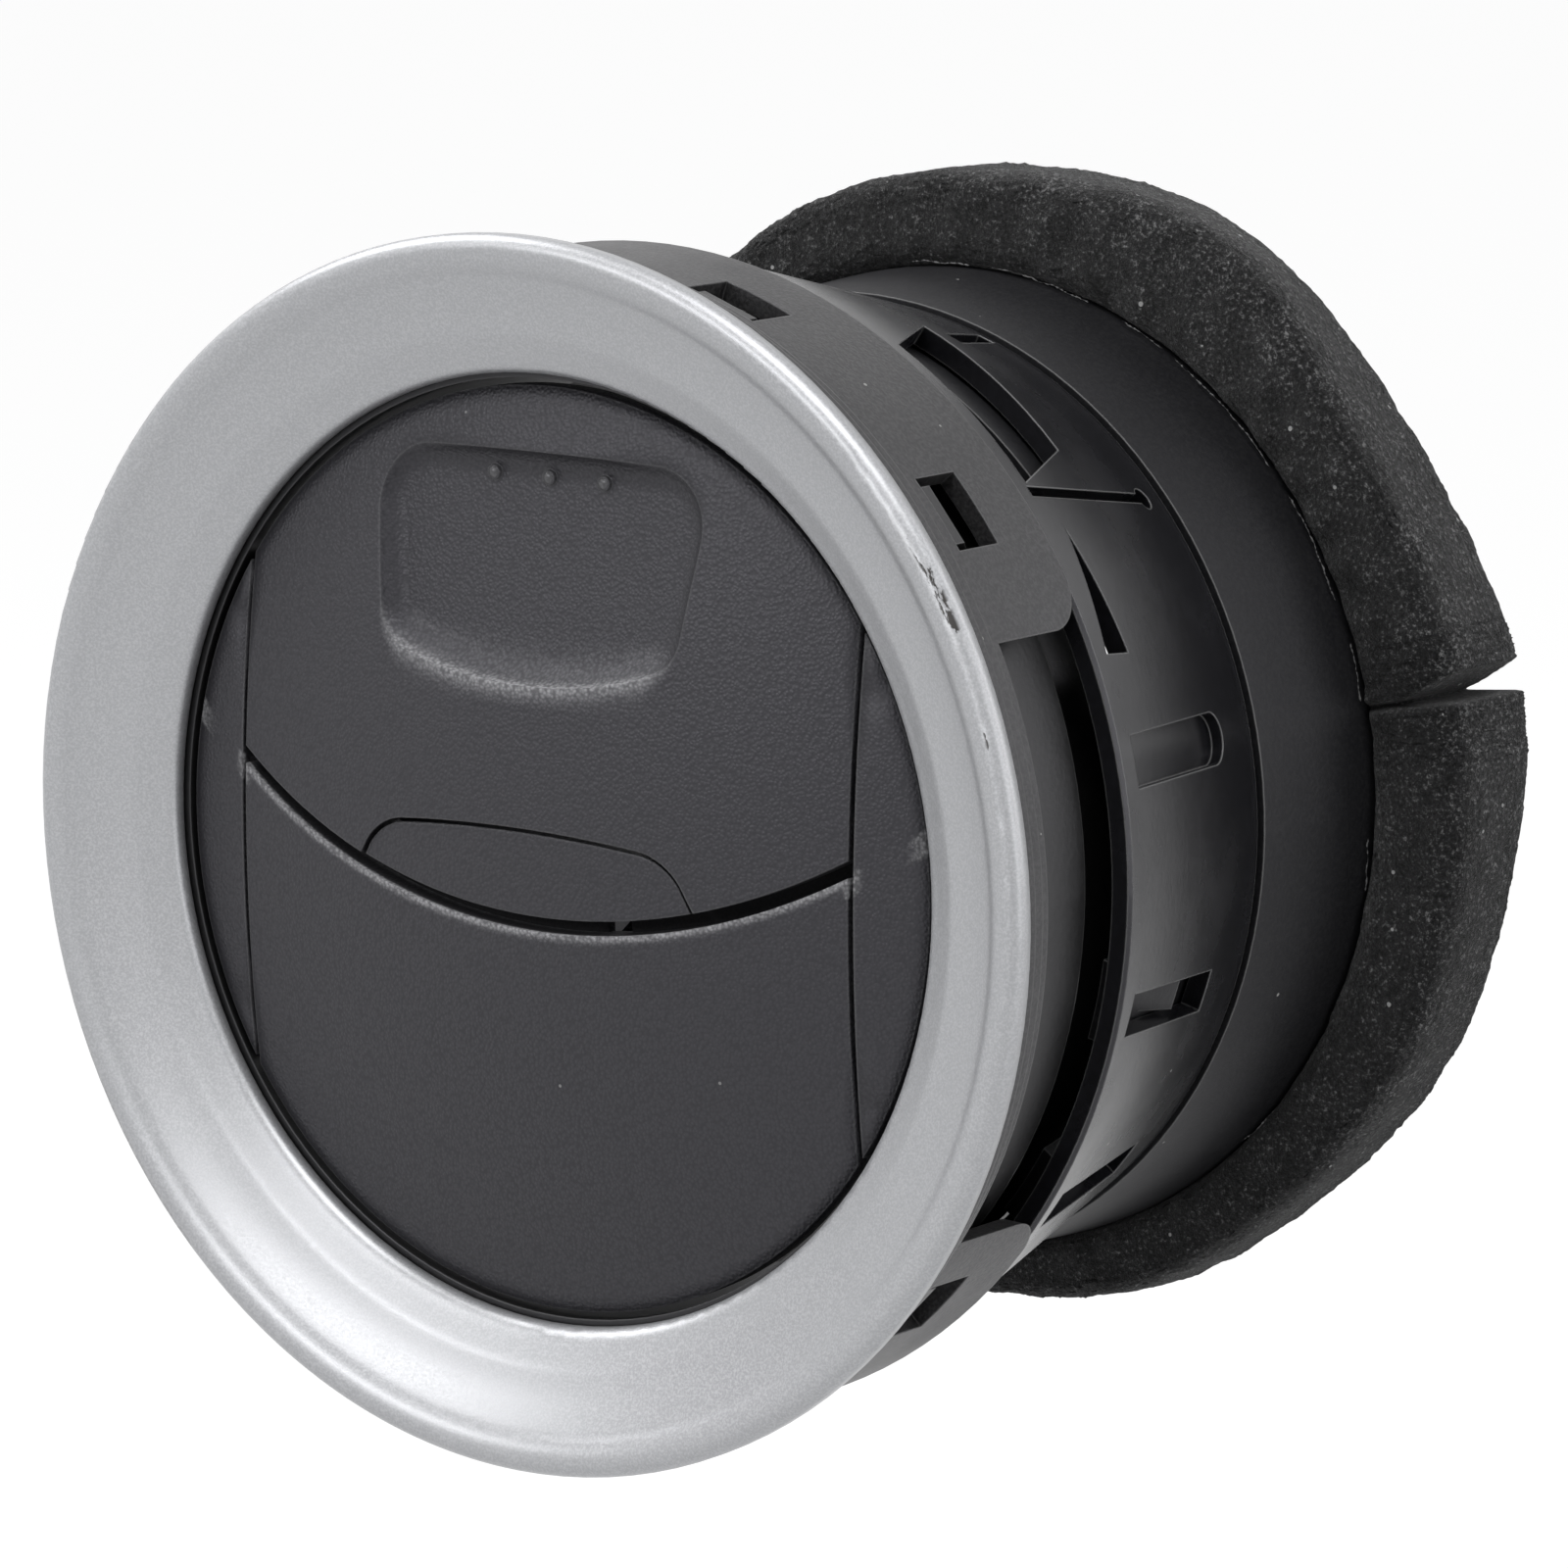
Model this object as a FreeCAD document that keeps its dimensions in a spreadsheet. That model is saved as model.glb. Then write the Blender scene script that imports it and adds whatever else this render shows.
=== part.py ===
import FreeCAD, Part
import math
import os
import Sketcher
from FreeCAD import Placement, Rotation, Vector
from types import SimpleNamespace

# Round dashboard air vent. Its axis runs along Y, its face looks along -Y, and +Z is up.
# The origin lies on the axis, in the flat rear face of the collar's flange, which seats on the dashboard.
# Angles round the axis are in degrees from +X towards +Z.

SIZES = {
    # Trim ring
    "ring_radius": 48.5,
    "ring_wall_foot": -1.4,
    "ring_wall_top": -2.2,
    "ring_crest_inset": 1.2,
    "ring_crest": -2.95,
    "ring_shoulder_inset": 3.2,
    "ring_shoulder": -2.1,
    "ring_dish_inset": 8.0,
    "ring_dish": -0.3,
    "ring_lip_inset": 10.3,
    "ring_lip": 0.9,
    "ring_edge": 1.7,
    "ring_width": 11.05,
    "ring_foot": 2.3,
    "ring_wall": 1.6,
    "ring_hollow": 1.0,
    "ring_rib_inset": 7.1,
    "ring_rib_wall": 1.5,
    "ring_step_inset": 3.9,
    "ring_step": 0.9,
    "loose_gap": 0.3,
    "ring_skin": 2.9,
    "ring_edge_round": 1.1,
    "ring_bead_round": 3.2,
    "ring_dish_round": 26.0,
    "ring_lip_round": 0.9,
    # Bezel collar with its two clip skirts
    "flange_inset": 0.5,
    "skirt_inset": 2.0,
    "skirt_wall": 1.6,
    "skirt_end": 15.1,
    "band_proud": 0.6,
    "band_length": 2.2,
    "web_width": 3.7,
    "web_back": 4.1,
    "web_wall": 1.8,
    "cutout_front": 3.7,
    "cutout_top": 28.8,
    "cutout_bottom": -30.7,
    "corner_length": 3.9,
    "corner_width": 3.1,
    "clip_front": 4.1,
    "clip_back": 9.0,
    "clip_width": 6.5,
    "clip_upper": 73.3,
    "clip_middle": 42.2,
    "clip_lower": -40.9,
    "clocking": -2.8,
    # Inner sleeve
    "sleeve_step": 1.35,
    "sleeve_wall": 1.6,
    "sleeve_back": 24.5,
    "neck_inset": 3.5,
    "neck_wall": 1.4,
    "neck_back": 13.6,
    "groove_depth": 0.8,
    "groove_front": 7.4,
    "groove_rear": 19.4,
    "groove_width": 3.2,
    "tooth_width": 5.2,
    "tooth_height": 3.1,
    # Rear housing
    "housing_inset": 0.3,
    "housing_narrowing": 6.4,
    "housing_rear": 42.05,
    "housing_wall": 1.8,
    "housing_edge": 0.35,
    "tongue_front": 8.0,
    "tongue_wall": 1.3,
    "tongue_width": 9.0,
    "tongue_angle": 57.5,
    "window_front": 18.1,
    "window_back_upper": 30.4,
    "window_back_lower": 28.8,
    "window_front_upper": 5.0,
    "window_front_lower": 10.3,
    "window_upper": 10.2,
    "window_lower": 6.1,
    "notch_front": 32.5,
    "notch_back": 41.0,
    "notch_width": 1.5,
    "notch_angle": 70.7,
    "notch_skew": 14.5,
    "taper_angle": 32.0,
    "taper_point": 20.2,
    "taper_front": 17.6,
    "taper_back": 21.8,
    "taper_reach": 5.5,
    "taper_end": 4.9,
    "slit_front": 17.7,
    "slit_angle": 43.3,
    "slit_width": 0.9,
    "relief_along": 38.6,
    "relief_radius": 1.0,
    "keyway_angle": 15.2,
    "keyway_width": 4.1,
    "keyway_front": 17.9,
    "keyway_depth": 1.1,
    "keyway_back": 34.3,
    "latch_front": 17.4,
    "latch_back": 34.7,
    "latch_width": 3.4,
    "latch_skew": 8.2,
    "latch_upper": -11.1,
    "latch_lower": -33.5,
    # Duct spigot
    "spigot_gap": 0.3,
    "spigot_land_inset": 0.6,
    "spigot_wall": 1.3,
    "spigot_collar_front": 25.2,
    "finger_front": 18.0,
    "finger_width": 6.4,
    "latch_tooth_front": 22.0,
    "latch_tooth_back": 29.9,
    "latch_tooth_width": 2.6,
    "latch_tooth_rise": 1.2,
    "groove_line": 0.55,
    "tube_proud": 0.3,
    "tube_flare": 0.8,
    "tube_flare_end": 56.3,
    "tube_end": 66.0,
    "tube_wall": 1.7,
    # Foam seal
    "foam_front": 56.3,
    "foam_back": 66.5,
    "foam_wall": 7.7,
    "foam_joint_angle": 11.6,
    "foam_joint_depth": 6.0,
    "foam_joint_mouth": 1.9,
    # Turning barrel
    "barrel_inset": 0.45,
    "barrel_wall": 1.4,
    "barrel_front": 2.6,
    "barrel_back": 26.6,
    "barrel_flange_width": 2.2,
    "barrel_flange_front": 2.75,
    "barrel_flange_back": 3.85,
    "retainer_overlap": 0.9,
    "retainer_width": 1.35,
    "retainer_gap": 24.0,
    "running_gap": 0.25,
    "friction_gap": 0.3,
    "felt_wall": 0.65,
    "retainer_groove_depth": 0.65,
    "seat_gap": 0.1,
    # Domed face: flaps, cheeks and cross bar
    "dome_radius": 150.0,
    "dome_front": -1.8,
    "face_gap": 0.6,
    "flap_wall": 2.0,
    "flap_side_gap": 0.45,
    "cheek_width": 6.1,
    "cheek_wall": 1.6,
    "cheek_depth": 11.0,
    "cheek_rim": 1.2,
    "shelf_wall": 1.6,
    "smile_radius": 58.0,
    "smile_low": -4.85,
    "smile_offset": 2.0,
    "smile_gap": 1.15,
    "lip_gap": 0.3,
    "lip_wall": 0.8,
    "lip_height": 1.0,
    "lip_root": 1.6,
    "lip_relief": 0.35,
    "pivot_along": 5.0,
    "pivot_height": 15.5,
    "stub_radius": 1.4,
    "stub_gap": 0.07,
    "bush_wall": 0.6,
    "ear_radius": 2.8,
    "ear_width": 2.0,
    # Thumb recess in the upper flap
    "recess_low": 14.9,
    "recess_high": 31.4,
    "recess_floor": 0.9,
    "recess_tilt": 8.0,
    "recess_bow": 45.0,
    "recess_bow_angle": 15.5,
    "recess_lean": 9.0,
    "recess_corner": 4.0,
    "recess_top_corner": 5.0,
    "recess_round": 2.2,
    "recess_backing": 1.7,
    "pip_pitch": 5.4,
    "pip_height": 29.3,
    "pip_radius": 0.6,
    "pip_rise": 0.35,
    # Tab on the cross bar
    "tab_top_half_width": 12.6,
    "tab_bottom_half_width": 16.4,
    "tab_top": 1.6,
    "tab_low": -2.6,
    "tab_corner": 5.2,
    "tab_bow": 114.0,
    "tab_line": 0.35,
    "tab_set_back": 0.25,
    "tab_wall": 1.4,
    "bar_set_back": 3.4,
    "bar_depth": 3.0,
    "bar_low_gap": 2.5,
    "bar_height": 2.8,
    "tenon_along": 0.1,
    "tenon_rise": 0.2,
    "tenon_length": 1.2,
    "tenon_height": 2.4,
    "tenon_depth": 2.0,
    # Link between the flaps
    "crank_length": 12.5,
    "crank_angle": 60.0,
    "lug_inner": 5.9,
    "lug_wall": 1.7,
    "lug_radius": 2.4,
    "link_wall": 1.5,
    "link_radius": 2.4,
    "link_half_width": 1.4,
    "pin_radius": 1.25,
    "pin_gap": 0.08,
    "open_pin_gap": 0.5,
    "rib_height": 3.0,
    "rib_wall": 1.2,
}

doc = FreeCAD.newDocument("DashboardAirVent")
sheet = doc.addObject("Spreadsheet::Sheet", "Sizes")
for row, (alias, amount) in enumerate(SIZES.items(), start=1):
    sheet.set(f"A{row}", alias)
    sheet.set(f"B{row}", str(amount))
    sheet.setAlias(f"B{row}", alias)
doc.recompute()


class Size:
    """A length or angle that knows its value and the formula that gives it from the sheet."""

    def __init__(self, value, formula):
        self.value = value
        self.formula = formula

    def join(self, other, sign, value):
        return Size(value, f"({self.formula} {sign} {as_size(other).formula})")

    def __add__(self, other):
        return self.join(other, "+", self.value + as_size(other).value)

    def __sub__(self, other):
        return self.join(other, "-", self.value - as_size(other).value)

    def __mul__(self, other):
        return self.join(other, "*", self.value * as_size(other).value)

    def __truediv__(self, other):
        return self.join(other, "/", self.value / as_size(other).value)

    def __neg__(self):
        return Size(-self.value, f"(0 - {self.formula})")


def as_size(thing):
    """Turns a plain number into a Size; a Size stays as it is."""
    return thing if isinstance(thing, Size) else Size(float(thing), repr(float(thing)))


def cosine(angle):
    return Size(math.cos(math.radians(angle.value)), f"cos({angle.formula} * 1 deg)")


def sine(angle):
    return Size(math.sin(math.radians(angle.value)), f"sin({angle.formula} * 1 deg)")


def root(amount):
    return Size(math.sqrt(amount.value), f"sqrt({amount.formula})")


def bind(thing, name, amount):
    """Ties one property of a document object to the sheet."""
    thing.setExpression(name, as_size(amount).formula)


d = SimpleNamespace(**{alias: Size(amount, f"Sizes.{alias}") for alias, amount in SIZES.items()})

# Radii follow from the ring inwards and rearwards
d.ring_opening = d.ring_radius - d.ring_width
d.flange_radius = d.ring_radius - d.flange_inset
d.skirt_radius = d.ring_radius - d.skirt_inset
d.skirt_bore = d.skirt_radius - d.skirt_wall
d.web_radius = d.skirt_bore - d.web_width
d.neck_radius = d.skirt_radius - d.neck_inset
d.sleeve_bore = d.ring_opening + d.sleeve_step
d.groove_radius = d.sleeve_bore + d.groove_depth
d.housing_front_radius = d.skirt_radius - d.housing_inset
d.housing_rear_radius = d.housing_front_radius - d.housing_narrowing
d.spigot_land = d.housing_rear_radius - d.spigot_land_inset
d.tube_radius = d.housing_rear_radius + d.tube_proud
d.tube_end_radius = d.tube_radius + d.tube_flare
d.foam_radius = d.tube_end_radius + d.foam_wall
d.barrel_bore = d.ring_opening - d.barrel_inset
d.barrel_outside = d.barrel_bore + d.barrel_wall
d.barrel_flange_radius = d.barrel_outside + d.barrel_flange_width
d.retainer_radius = d.sleeve_bore + d.retainer_overlap
d.retainer_groove = d.barrel_outside - d.retainer_groove_depth
d.face_radius = d.barrel_bore - d.face_gap
d.cheek_line = d.face_radius - d.cheek_width
d.flap_half_width = d.cheek_line - d.flap_side_gap


def arc_between(start, end, radius, turn):
    """The short arc from start to end; turn is 1 where it bends left and -1 where it bends right."""
    chord = end - start
    left = Vector(-chord.y, chord.x, 0).normalize()
    rise = math.sqrt(radius**2 - (chord.Length / 2) ** 2)
    centre = (start + end) * 0.5 + left * rise * turn
    return Part.Arc(start, centre - left * radius * turn, end)


def draw(sketch, corners):
    """Closed outline: each corner is (x, y), or (x, y, radius, turn) where an arc leads to the next."""
    corners = [
        (as_size(c[0]), as_size(c[1]), *([as_size(c[2]), c[3]] if len(c) == 4 else []))
        for c in corners
    ]
    points = [Vector(c[0].value, c[1].value, 0) for c in corners]
    ends = []
    for index, corner in enumerate(corners):
        start, end = points[index], points[(index + 1) % len(points)]
        if len(corner) == 4:
            sketch.addGeometry(arc_between(start, end, corner[2].value, corner[3]), False)
            ends.append((1, 2) if corner[3] > 0 else (2, 1))
        else:
            sketch.addGeometry(Part.LineSegment(start, end), False)
            ends.append((1, 2))
    for index in range(len(corners)):
        after = (index + 1) % len(corners)
        sketch.addConstraint(
            Sketcher.Constraint("Coincident", index, ends[index][1], after, ends[after][0])
        )
    for index, corner in enumerate(corners):
        for kind, amount in (("DistanceX", corner[0]), ("DistanceY", corner[1])):
            rule = Sketcher.Constraint(kind, -1, 1, index, ends[index][0], amount.value)
            bind(sketch, f"Constraints[{sketch.addConstraint(rule)}]", amount)
        if len(corner) == 4:
            rule = Sketcher.Constraint("Radius", index, corner[2].value)
            bind(sketch, f"Constraints[{sketch.addConstraint(rule)}]", corner[2])


def origin_plane(body, role):
    return next(item for item in body.Origin.OriginFeatures if item.Role == role)


def turned(name, corners, angle=360):
    """A body turned about the vent's axis from (radius, along) corners."""
    body = doc.addObject("PartDesign::Body", name)
    sketch = body.newObject("Sketcher::SketchObject", name + "_profile")
    sketch.AttachmentSupport = (origin_plane(body, "XY_Plane"), [""])
    sketch.MapMode = "FlatFace"
    draw(sketch, corners)
    turn = body.newObject("PartDesign::Revolution", name + "_turn")
    turn.Profile = sketch
    turn.ReferenceAxis = (sketch, ["V_Axis"])
    bind(turn, "Angle", angle)
    return body


def move_to(thing, x, y, z):
    for axis, amount in zip("xyz", (x, y, z)):
        bind(thing, f"Placement.Base.{axis}", amount)


def block(name, xs, ys, zs):
    """A box between two values on each axis."""
    item = doc.addObject("Part::Box", name)
    for side, (low, high) in zip(("Length", "Width", "Height"), (xs, ys, zs)):
        bind(item, side, as_size(high) - low)
    move_to(item, xs[0], ys[0], zs[0])
    return item


def rod_along(name, radius, start, end, height=0):
    """A cylinder along the vent's axis, its own axis at the given height."""
    item = doc.addObject("Part::Cylinder", name)
    item.Placement = Placement(Vector(), Rotation(Vector(1, 0, 0), -90))
    bind(item, "Radius", radius)
    bind(item, "Height", as_size(end) - start)
    move_to(item, 0, start, height)
    return item


def rod_across(name, radius, left, right, along, height):
    """A cylinder along X between two places."""
    item = doc.addObject("Part::Cylinder", name)
    item.Placement = Placement(Vector(), Rotation(Vector(0, 1, 0), 90))
    bind(item, "Radius", radius)
    bind(item, "Height", as_size(right) - left)
    move_to(item, left, along, height)
    return item


def dome(name, set_back):
    """The ball whose front is the domed face, set back by an amount."""
    item = doc.addObject("Part::Sphere", name)
    bind(item, "Radius", d.dome_radius - set_back)
    move_to(item, 0, d.dome_front + d.dome_radius, 0)
    return item


def fuse(name, pieces):
    item = doc.addObject("Part::MultiFuse", name)
    item.Shapes = pieces
    item.Refine = True
    return item


def common(name, pieces):
    """What all the pieces share."""
    item = pieces[0]
    for number, piece in enumerate(pieces[1:], start=2):
        last = number == len(pieces)
        step = doc.addObject("Part::Common", name if last else f"{name}_{number}")
        step.Base = item
        step.Tool = piece
        item = step
    return item


def cut(name, base, tool):
    item = doc.addObject("Part::Cut", name)
    item.Base = base
    item.Tool = tool
    return item


def turned_to(angle):
    """Placement that carries what lies along +X to an angle round the vent's axis."""
    return Placement(Vector(), Rotation(Vector(0, 1, 0), -angle))


def skewed(skew, along):
    """Placement that turns a piece about the X axis through a point on the vent's axis."""
    there = Placement(Vector(0, along, 0), Rotation(Vector(1, 0, 0), skew))
    return there * Placement(Vector(0, -along, 0), Rotation())


def extruded(name, corners, depth, placement, both_ways=False):
    """An outline drawn on a placed plane and carried along that plane's normal."""
    sketch = doc.addObject("Sketcher::SketchObject", name + "_outline")
    sketch.Placement = placement
    draw(sketch, corners)
    item = doc.addObject("Part::Extrusion", name)
    item.Base = sketch
    item.DirMode = "Normal"
    item.Solid = True
    item.Symmetric = both_ways
    bind(item, "LengthFwd", depth)
    return item


FACING_X = Rotation(Vector(0, 1, 0), Vector(0, 0, 1), Vector(1, 0, 0), "ZXY")


def radial_prism(name, corners, angle, skew=0, along=0):
    """An outline in (along, across) on the side of the vent, carried outwards from the axis."""
    placement = turned_to(angle) * skewed(skew, along) * Placement(Vector(), FACING_X)
    return extruded(name, corners, d.ring_radius + 5, placement)


def tooth(name, corners, width, angle, skew=0, along=0):
    """A (radius, along) outline carried both ways by half the width, then turned to its angle."""
    return extruded(name, corners, width, turned_to(angle) * skewed(skew, along), both_ways=True)


def shell(name, near, far):
    """The layer of the domed face between two set-backs."""
    return cut(name, dome(name + "_near", near), dome(name + "_far", far))


def plate_across(name, corners, start, end):
    """An outline in (along, height) carried along X from start to end."""
    item = extruded(name, corners, as_size(end) - start, Placement(Vector(), FACING_X))
    bind(item.Base, "Placement.Base.x", start)
    return item


# Trim ring: a bright bead, a shallow dish and a narrow lip round the opening
ring_back = d.ring_foot - d.ring_hollow
step_level = d.ring_wall_foot + d.ring_step
rib_radius = d.ring_radius - d.ring_rib_inset
trim_ring = turned(
    "trim_ring",
    [
        (d.ring_radius, d.ring_wall_foot),
        (d.ring_radius, d.ring_wall_top, d.ring_edge_round, -1),
        (d.ring_radius - d.ring_crest_inset, d.ring_crest, d.ring_bead_round, -1),
        (d.ring_radius - d.ring_shoulder_inset, d.ring_shoulder, d.ring_dish_round, 1),
        (d.ring_radius - d.ring_dish_inset, d.ring_dish),
        (d.ring_radius - d.ring_lip_inset, d.ring_lip, d.ring_lip_round, -1),
        (d.ring_opening, d.ring_edge),
        (d.ring_opening, d.ring_foot),
        (d.ring_opening + d.ring_wall, d.ring_foot),
        (d.ring_opening + d.ring_wall, ring_back),
        (rib_radius, ring_back),
        (rib_radius, d.ring_foot),
        (rib_radius + d.ring_rib_wall, d.ring_foot),
        (rib_radius + d.ring_rib_wall, d.ring_foot - d.ring_wall),
        (d.ring_radius - d.ring_step_inset, step_level),
        (d.ring_radius - d.ring_skin, step_level),
        (d.ring_radius - d.ring_skin, d.ring_wall_foot),
    ],
)

# Bezel collar: flange, web and two skirt segments with clip windows
collar_front = turned(
    "collar_front",
    [
        (d.ring_radius - d.ring_skin + d.loose_gap, d.ring_wall_foot),
        (d.ring_radius - d.ring_skin + d.loose_gap, step_level),
        (d.skirt_bore, step_level),
        (d.skirt_bore, d.web_back - d.web_wall),
        (d.web_radius, d.web_back - d.web_wall),
        (d.web_radius, d.web_back),
        (d.skirt_bore, d.web_back),
        (d.skirt_bore, d.cutout_front),
        (d.skirt_radius, d.cutout_front),
        (d.skirt_radius, d.band_length),
        (d.skirt_radius + d.band_proud, d.band_length),
        (d.skirt_radius + d.band_proud, 0),
        (d.flange_radius, 0),
        (d.flange_radius, d.ring_wall_foot),
    ],
)
skirt_tube = turned(
    "skirt_tube",
    [
        (d.skirt_bore, d.cutout_front / 2),
        (d.skirt_radius, d.cutout_front / 2),
        (d.skirt_radius, d.skirt_end),
        (d.skirt_bore, d.skirt_end),
    ],
)
top_edge = d.skirt_radius * sine(d.cutout_top)
bottom_edge = d.skirt_radius * sine(d.cutout_bottom)
corner_start = d.skirt_end - d.corner_length
cutout_corners = [
    (d.cutout_front, bottom_edge),
    (corner_start, bottom_edge, d.corner_length + 0.2, -1),
    (d.skirt_end, bottom_edge - d.corner_width),
    (d.skirt_end + 2, bottom_edge - d.corner_width),
    (d.skirt_end + 2, top_edge + d.corner_width),
    (d.skirt_end, top_edge + d.corner_width, d.corner_length + 0.2, -1),
    (corner_start, top_edge),
    (d.cutout_front, top_edge),
]
clocking = SIZES["clocking"]
clip_nominal = (d.clip_upper.value, d.clip_middle.value, d.clip_lower.value, -d.clip_upper.value)
clip_angles = [clocking + angle for angle in clip_nominal]
clip_angles += [clocking + 180 - angle for angle in clip_nominal]
skirt_tools = [
    radial_prism("right_cutout", cutout_corners, clocking),
    radial_prism("left_cutout", cutout_corners, clocking + 180),
]
clip_corners = [
    (d.clip_front, -d.clip_width / 2),
    (d.clip_back, -d.clip_width / 2),
    (d.clip_back, d.clip_width / 2),
    (d.clip_front, d.clip_width / 2),
]
for number, angle in enumerate(clip_angles, start=1):
    skirt_tools.append(radial_prism(f"clip_window_{number}", clip_corners, angle))
skirt = cut("skirt", skirt_tube, fuse("skirt_tools", skirt_tools))
clip_collar = fuse("clip_collar", [collar_front, skirt])

# Inner sleeve: the bore in which the barrel turns, with a short outer neck and snap teeth
sleeve_front = d.web_back
flange_rim = d.skirt_bore - d.loose_gap
flange_rear = sleeve_front + d.sleeve_wall
sleeve_form = turned(
    "sleeve_form",
    [
        (d.sleeve_bore, sleeve_front),
        (flange_rim, sleeve_front),
        (flange_rim, flange_rear),
        (d.neck_radius, flange_rear),
        (d.neck_radius, d.neck_back),
        (d.neck_radius - d.neck_wall, d.neck_back),
        (d.neck_radius - d.neck_wall, flange_rear),
        (d.sleeve_bore + d.sleeve_wall, flange_rear),
        (d.sleeve_bore + d.sleeve_wall, d.sleeve_back),
        (d.sleeve_bore, d.sleeve_back),
        (d.sleeve_bore, d.groove_rear + d.groove_width),
        (d.groove_radius, d.groove_rear + d.groove_width),
        (d.groove_radius, d.groove_rear),
        (d.sleeve_bore, d.groove_rear),
        (d.sleeve_bore, d.groove_front + d.groove_width),
        (d.groove_radius, d.groove_front + d.groove_width),
        (d.groove_radius, d.groove_front),
        (d.sleeve_bore, d.groove_front),
    ],
)
tooth_tip = d.skirt_radius - 0.3
tooth_corners = [
    (flange_rim - 1, sleeve_front + 0.3),
    (tooth_tip, sleeve_front + 0.3),
    (tooth_tip, flange_rear - 0.2),
    (d.skirt_bore, sleeve_front + d.tooth_height),
    (flange_rim - 1, sleeve_front + d.tooth_height),
]
teeth = [
    tooth(f"snap_tooth_{number}", tooth_corners, d.tooth_width, angle)
    for number, angle in enumerate(clip_angles, start=1)
]
inner_sleeve = fuse("inner_sleeve", [sleeve_form, *teeth])


def felt(name, front):
    """A felt band that lines one groove of the sleeve."""
    outside = d.groove_radius - d.seat_gap * 2
    corners = [
        (outside - d.felt_wall, front + d.seat_gap),
        (outside, front + d.seat_gap),
        (outside, front + d.groove_width - d.seat_gap),
        (outside - d.felt_wall, front + d.groove_width - d.seat_gap),
    ]
    return turned(name, corners)


front_felt = felt("front_felt", d.groove_front)
rear_felt = felt("rear_felt", d.groove_rear)

# Rear housing: a tapered shell with windows, a slit, keyways and four tongues under the skirt
taper = (d.housing_front_radius - d.housing_rear_radius) / (d.housing_rear - d.skirt_end)


def on_cone(along, inset):
    """Radius of the tapered shell at a place along the axis, less an inset."""
    return d.housing_front_radius - inset - (as_size(along) - d.skirt_end) * taper


housing_cone = turned(
    "housing_cone",
    [
        (on_cone(d.skirt_end, d.housing_wall), d.skirt_end),
        (on_cone(d.skirt_end, d.housing_edge), d.skirt_end),
        (on_cone(d.skirt_end + d.housing_edge, 0), d.skirt_end + d.housing_edge),
        (on_cone(d.housing_rear, 0), d.housing_rear),
        (on_cone(d.housing_rear, d.housing_wall), d.housing_rear),
    ],
)
keyway_skin = turned(
    "keyway_skin",
    [
        (on_cone(d.skirt_end, d.keyway_depth), d.skirt_end),
        (d.ring_radius, d.skirt_end),
        (d.ring_radius, d.housing_rear),
        (on_cone(d.housing_rear, d.keyway_depth), d.housing_rear),
    ],
)


def straight(front, back, half_width):
    return [(front, -half_width), (back, -half_width), (back, half_width), (front, half_width)]


window_corners = [
    (d.window_front, -d.window_front_lower),
    (d.window_back_lower, -d.window_lower),
    (d.window_back_upper, d.window_upper),
    (d.window_front, d.window_front_upper),
]
taper_corners = [
    (d.taper_front, -d.taper_end),
    (d.taper_back, -d.taper_end),
    (d.taper_point, d.taper_reach),
]
keyway_half = d.keyway_width / 2
keyway_corners = [
    (d.keyway_front, -keyway_half),
    (d.keyway_back, -keyway_half, keyway_half + 0.01, 1),
    (d.keyway_back, keyway_half),
    (d.keyway_front, keyway_half),
]
latch_middle = (SIZES["latch_front"] + SIZES["latch_back"]) / 2
latch_skew = -SIZES["latch_skew"]
notch_middle = (SIZES["notch_front"] + SIZES["notch_back"]) / 2
housing_tools = []
tongues = []
fingers = []
latch_teeth = []
finger_layer = turned(
    "finger_layer",
    [
        (on_cone(d.finger_front, d.housing_wall + d.spigot_gap + d.spigot_wall), d.finger_front),
        (on_cone(d.finger_front, d.housing_wall + d.spigot_gap), d.finger_front),
        (on_cone(d.spigot_collar_front + 1, d.housing_wall + d.spigot_gap), d.spigot_collar_front + 1),
        (
            on_cone(d.spigot_collar_front + 1, d.housing_wall + d.spigot_gap + d.spigot_wall),
            d.spigot_collar_front + 1,
        ),
    ],
)
latch_tooth_corners = [
    (on_cone(d.latch_tooth_front, d.housing_wall + d.spigot_gap + 0.6), d.latch_tooth_front),
    (
        on_cone(d.latch_tooth_back, d.housing_wall + d.spigot_gap) + d.latch_tooth_rise,
        d.latch_tooth_back,
    ),
    (on_cone(d.latch_tooth_back, d.housing_wall + d.spigot_gap + 0.6), d.latch_tooth_back),
]
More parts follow.
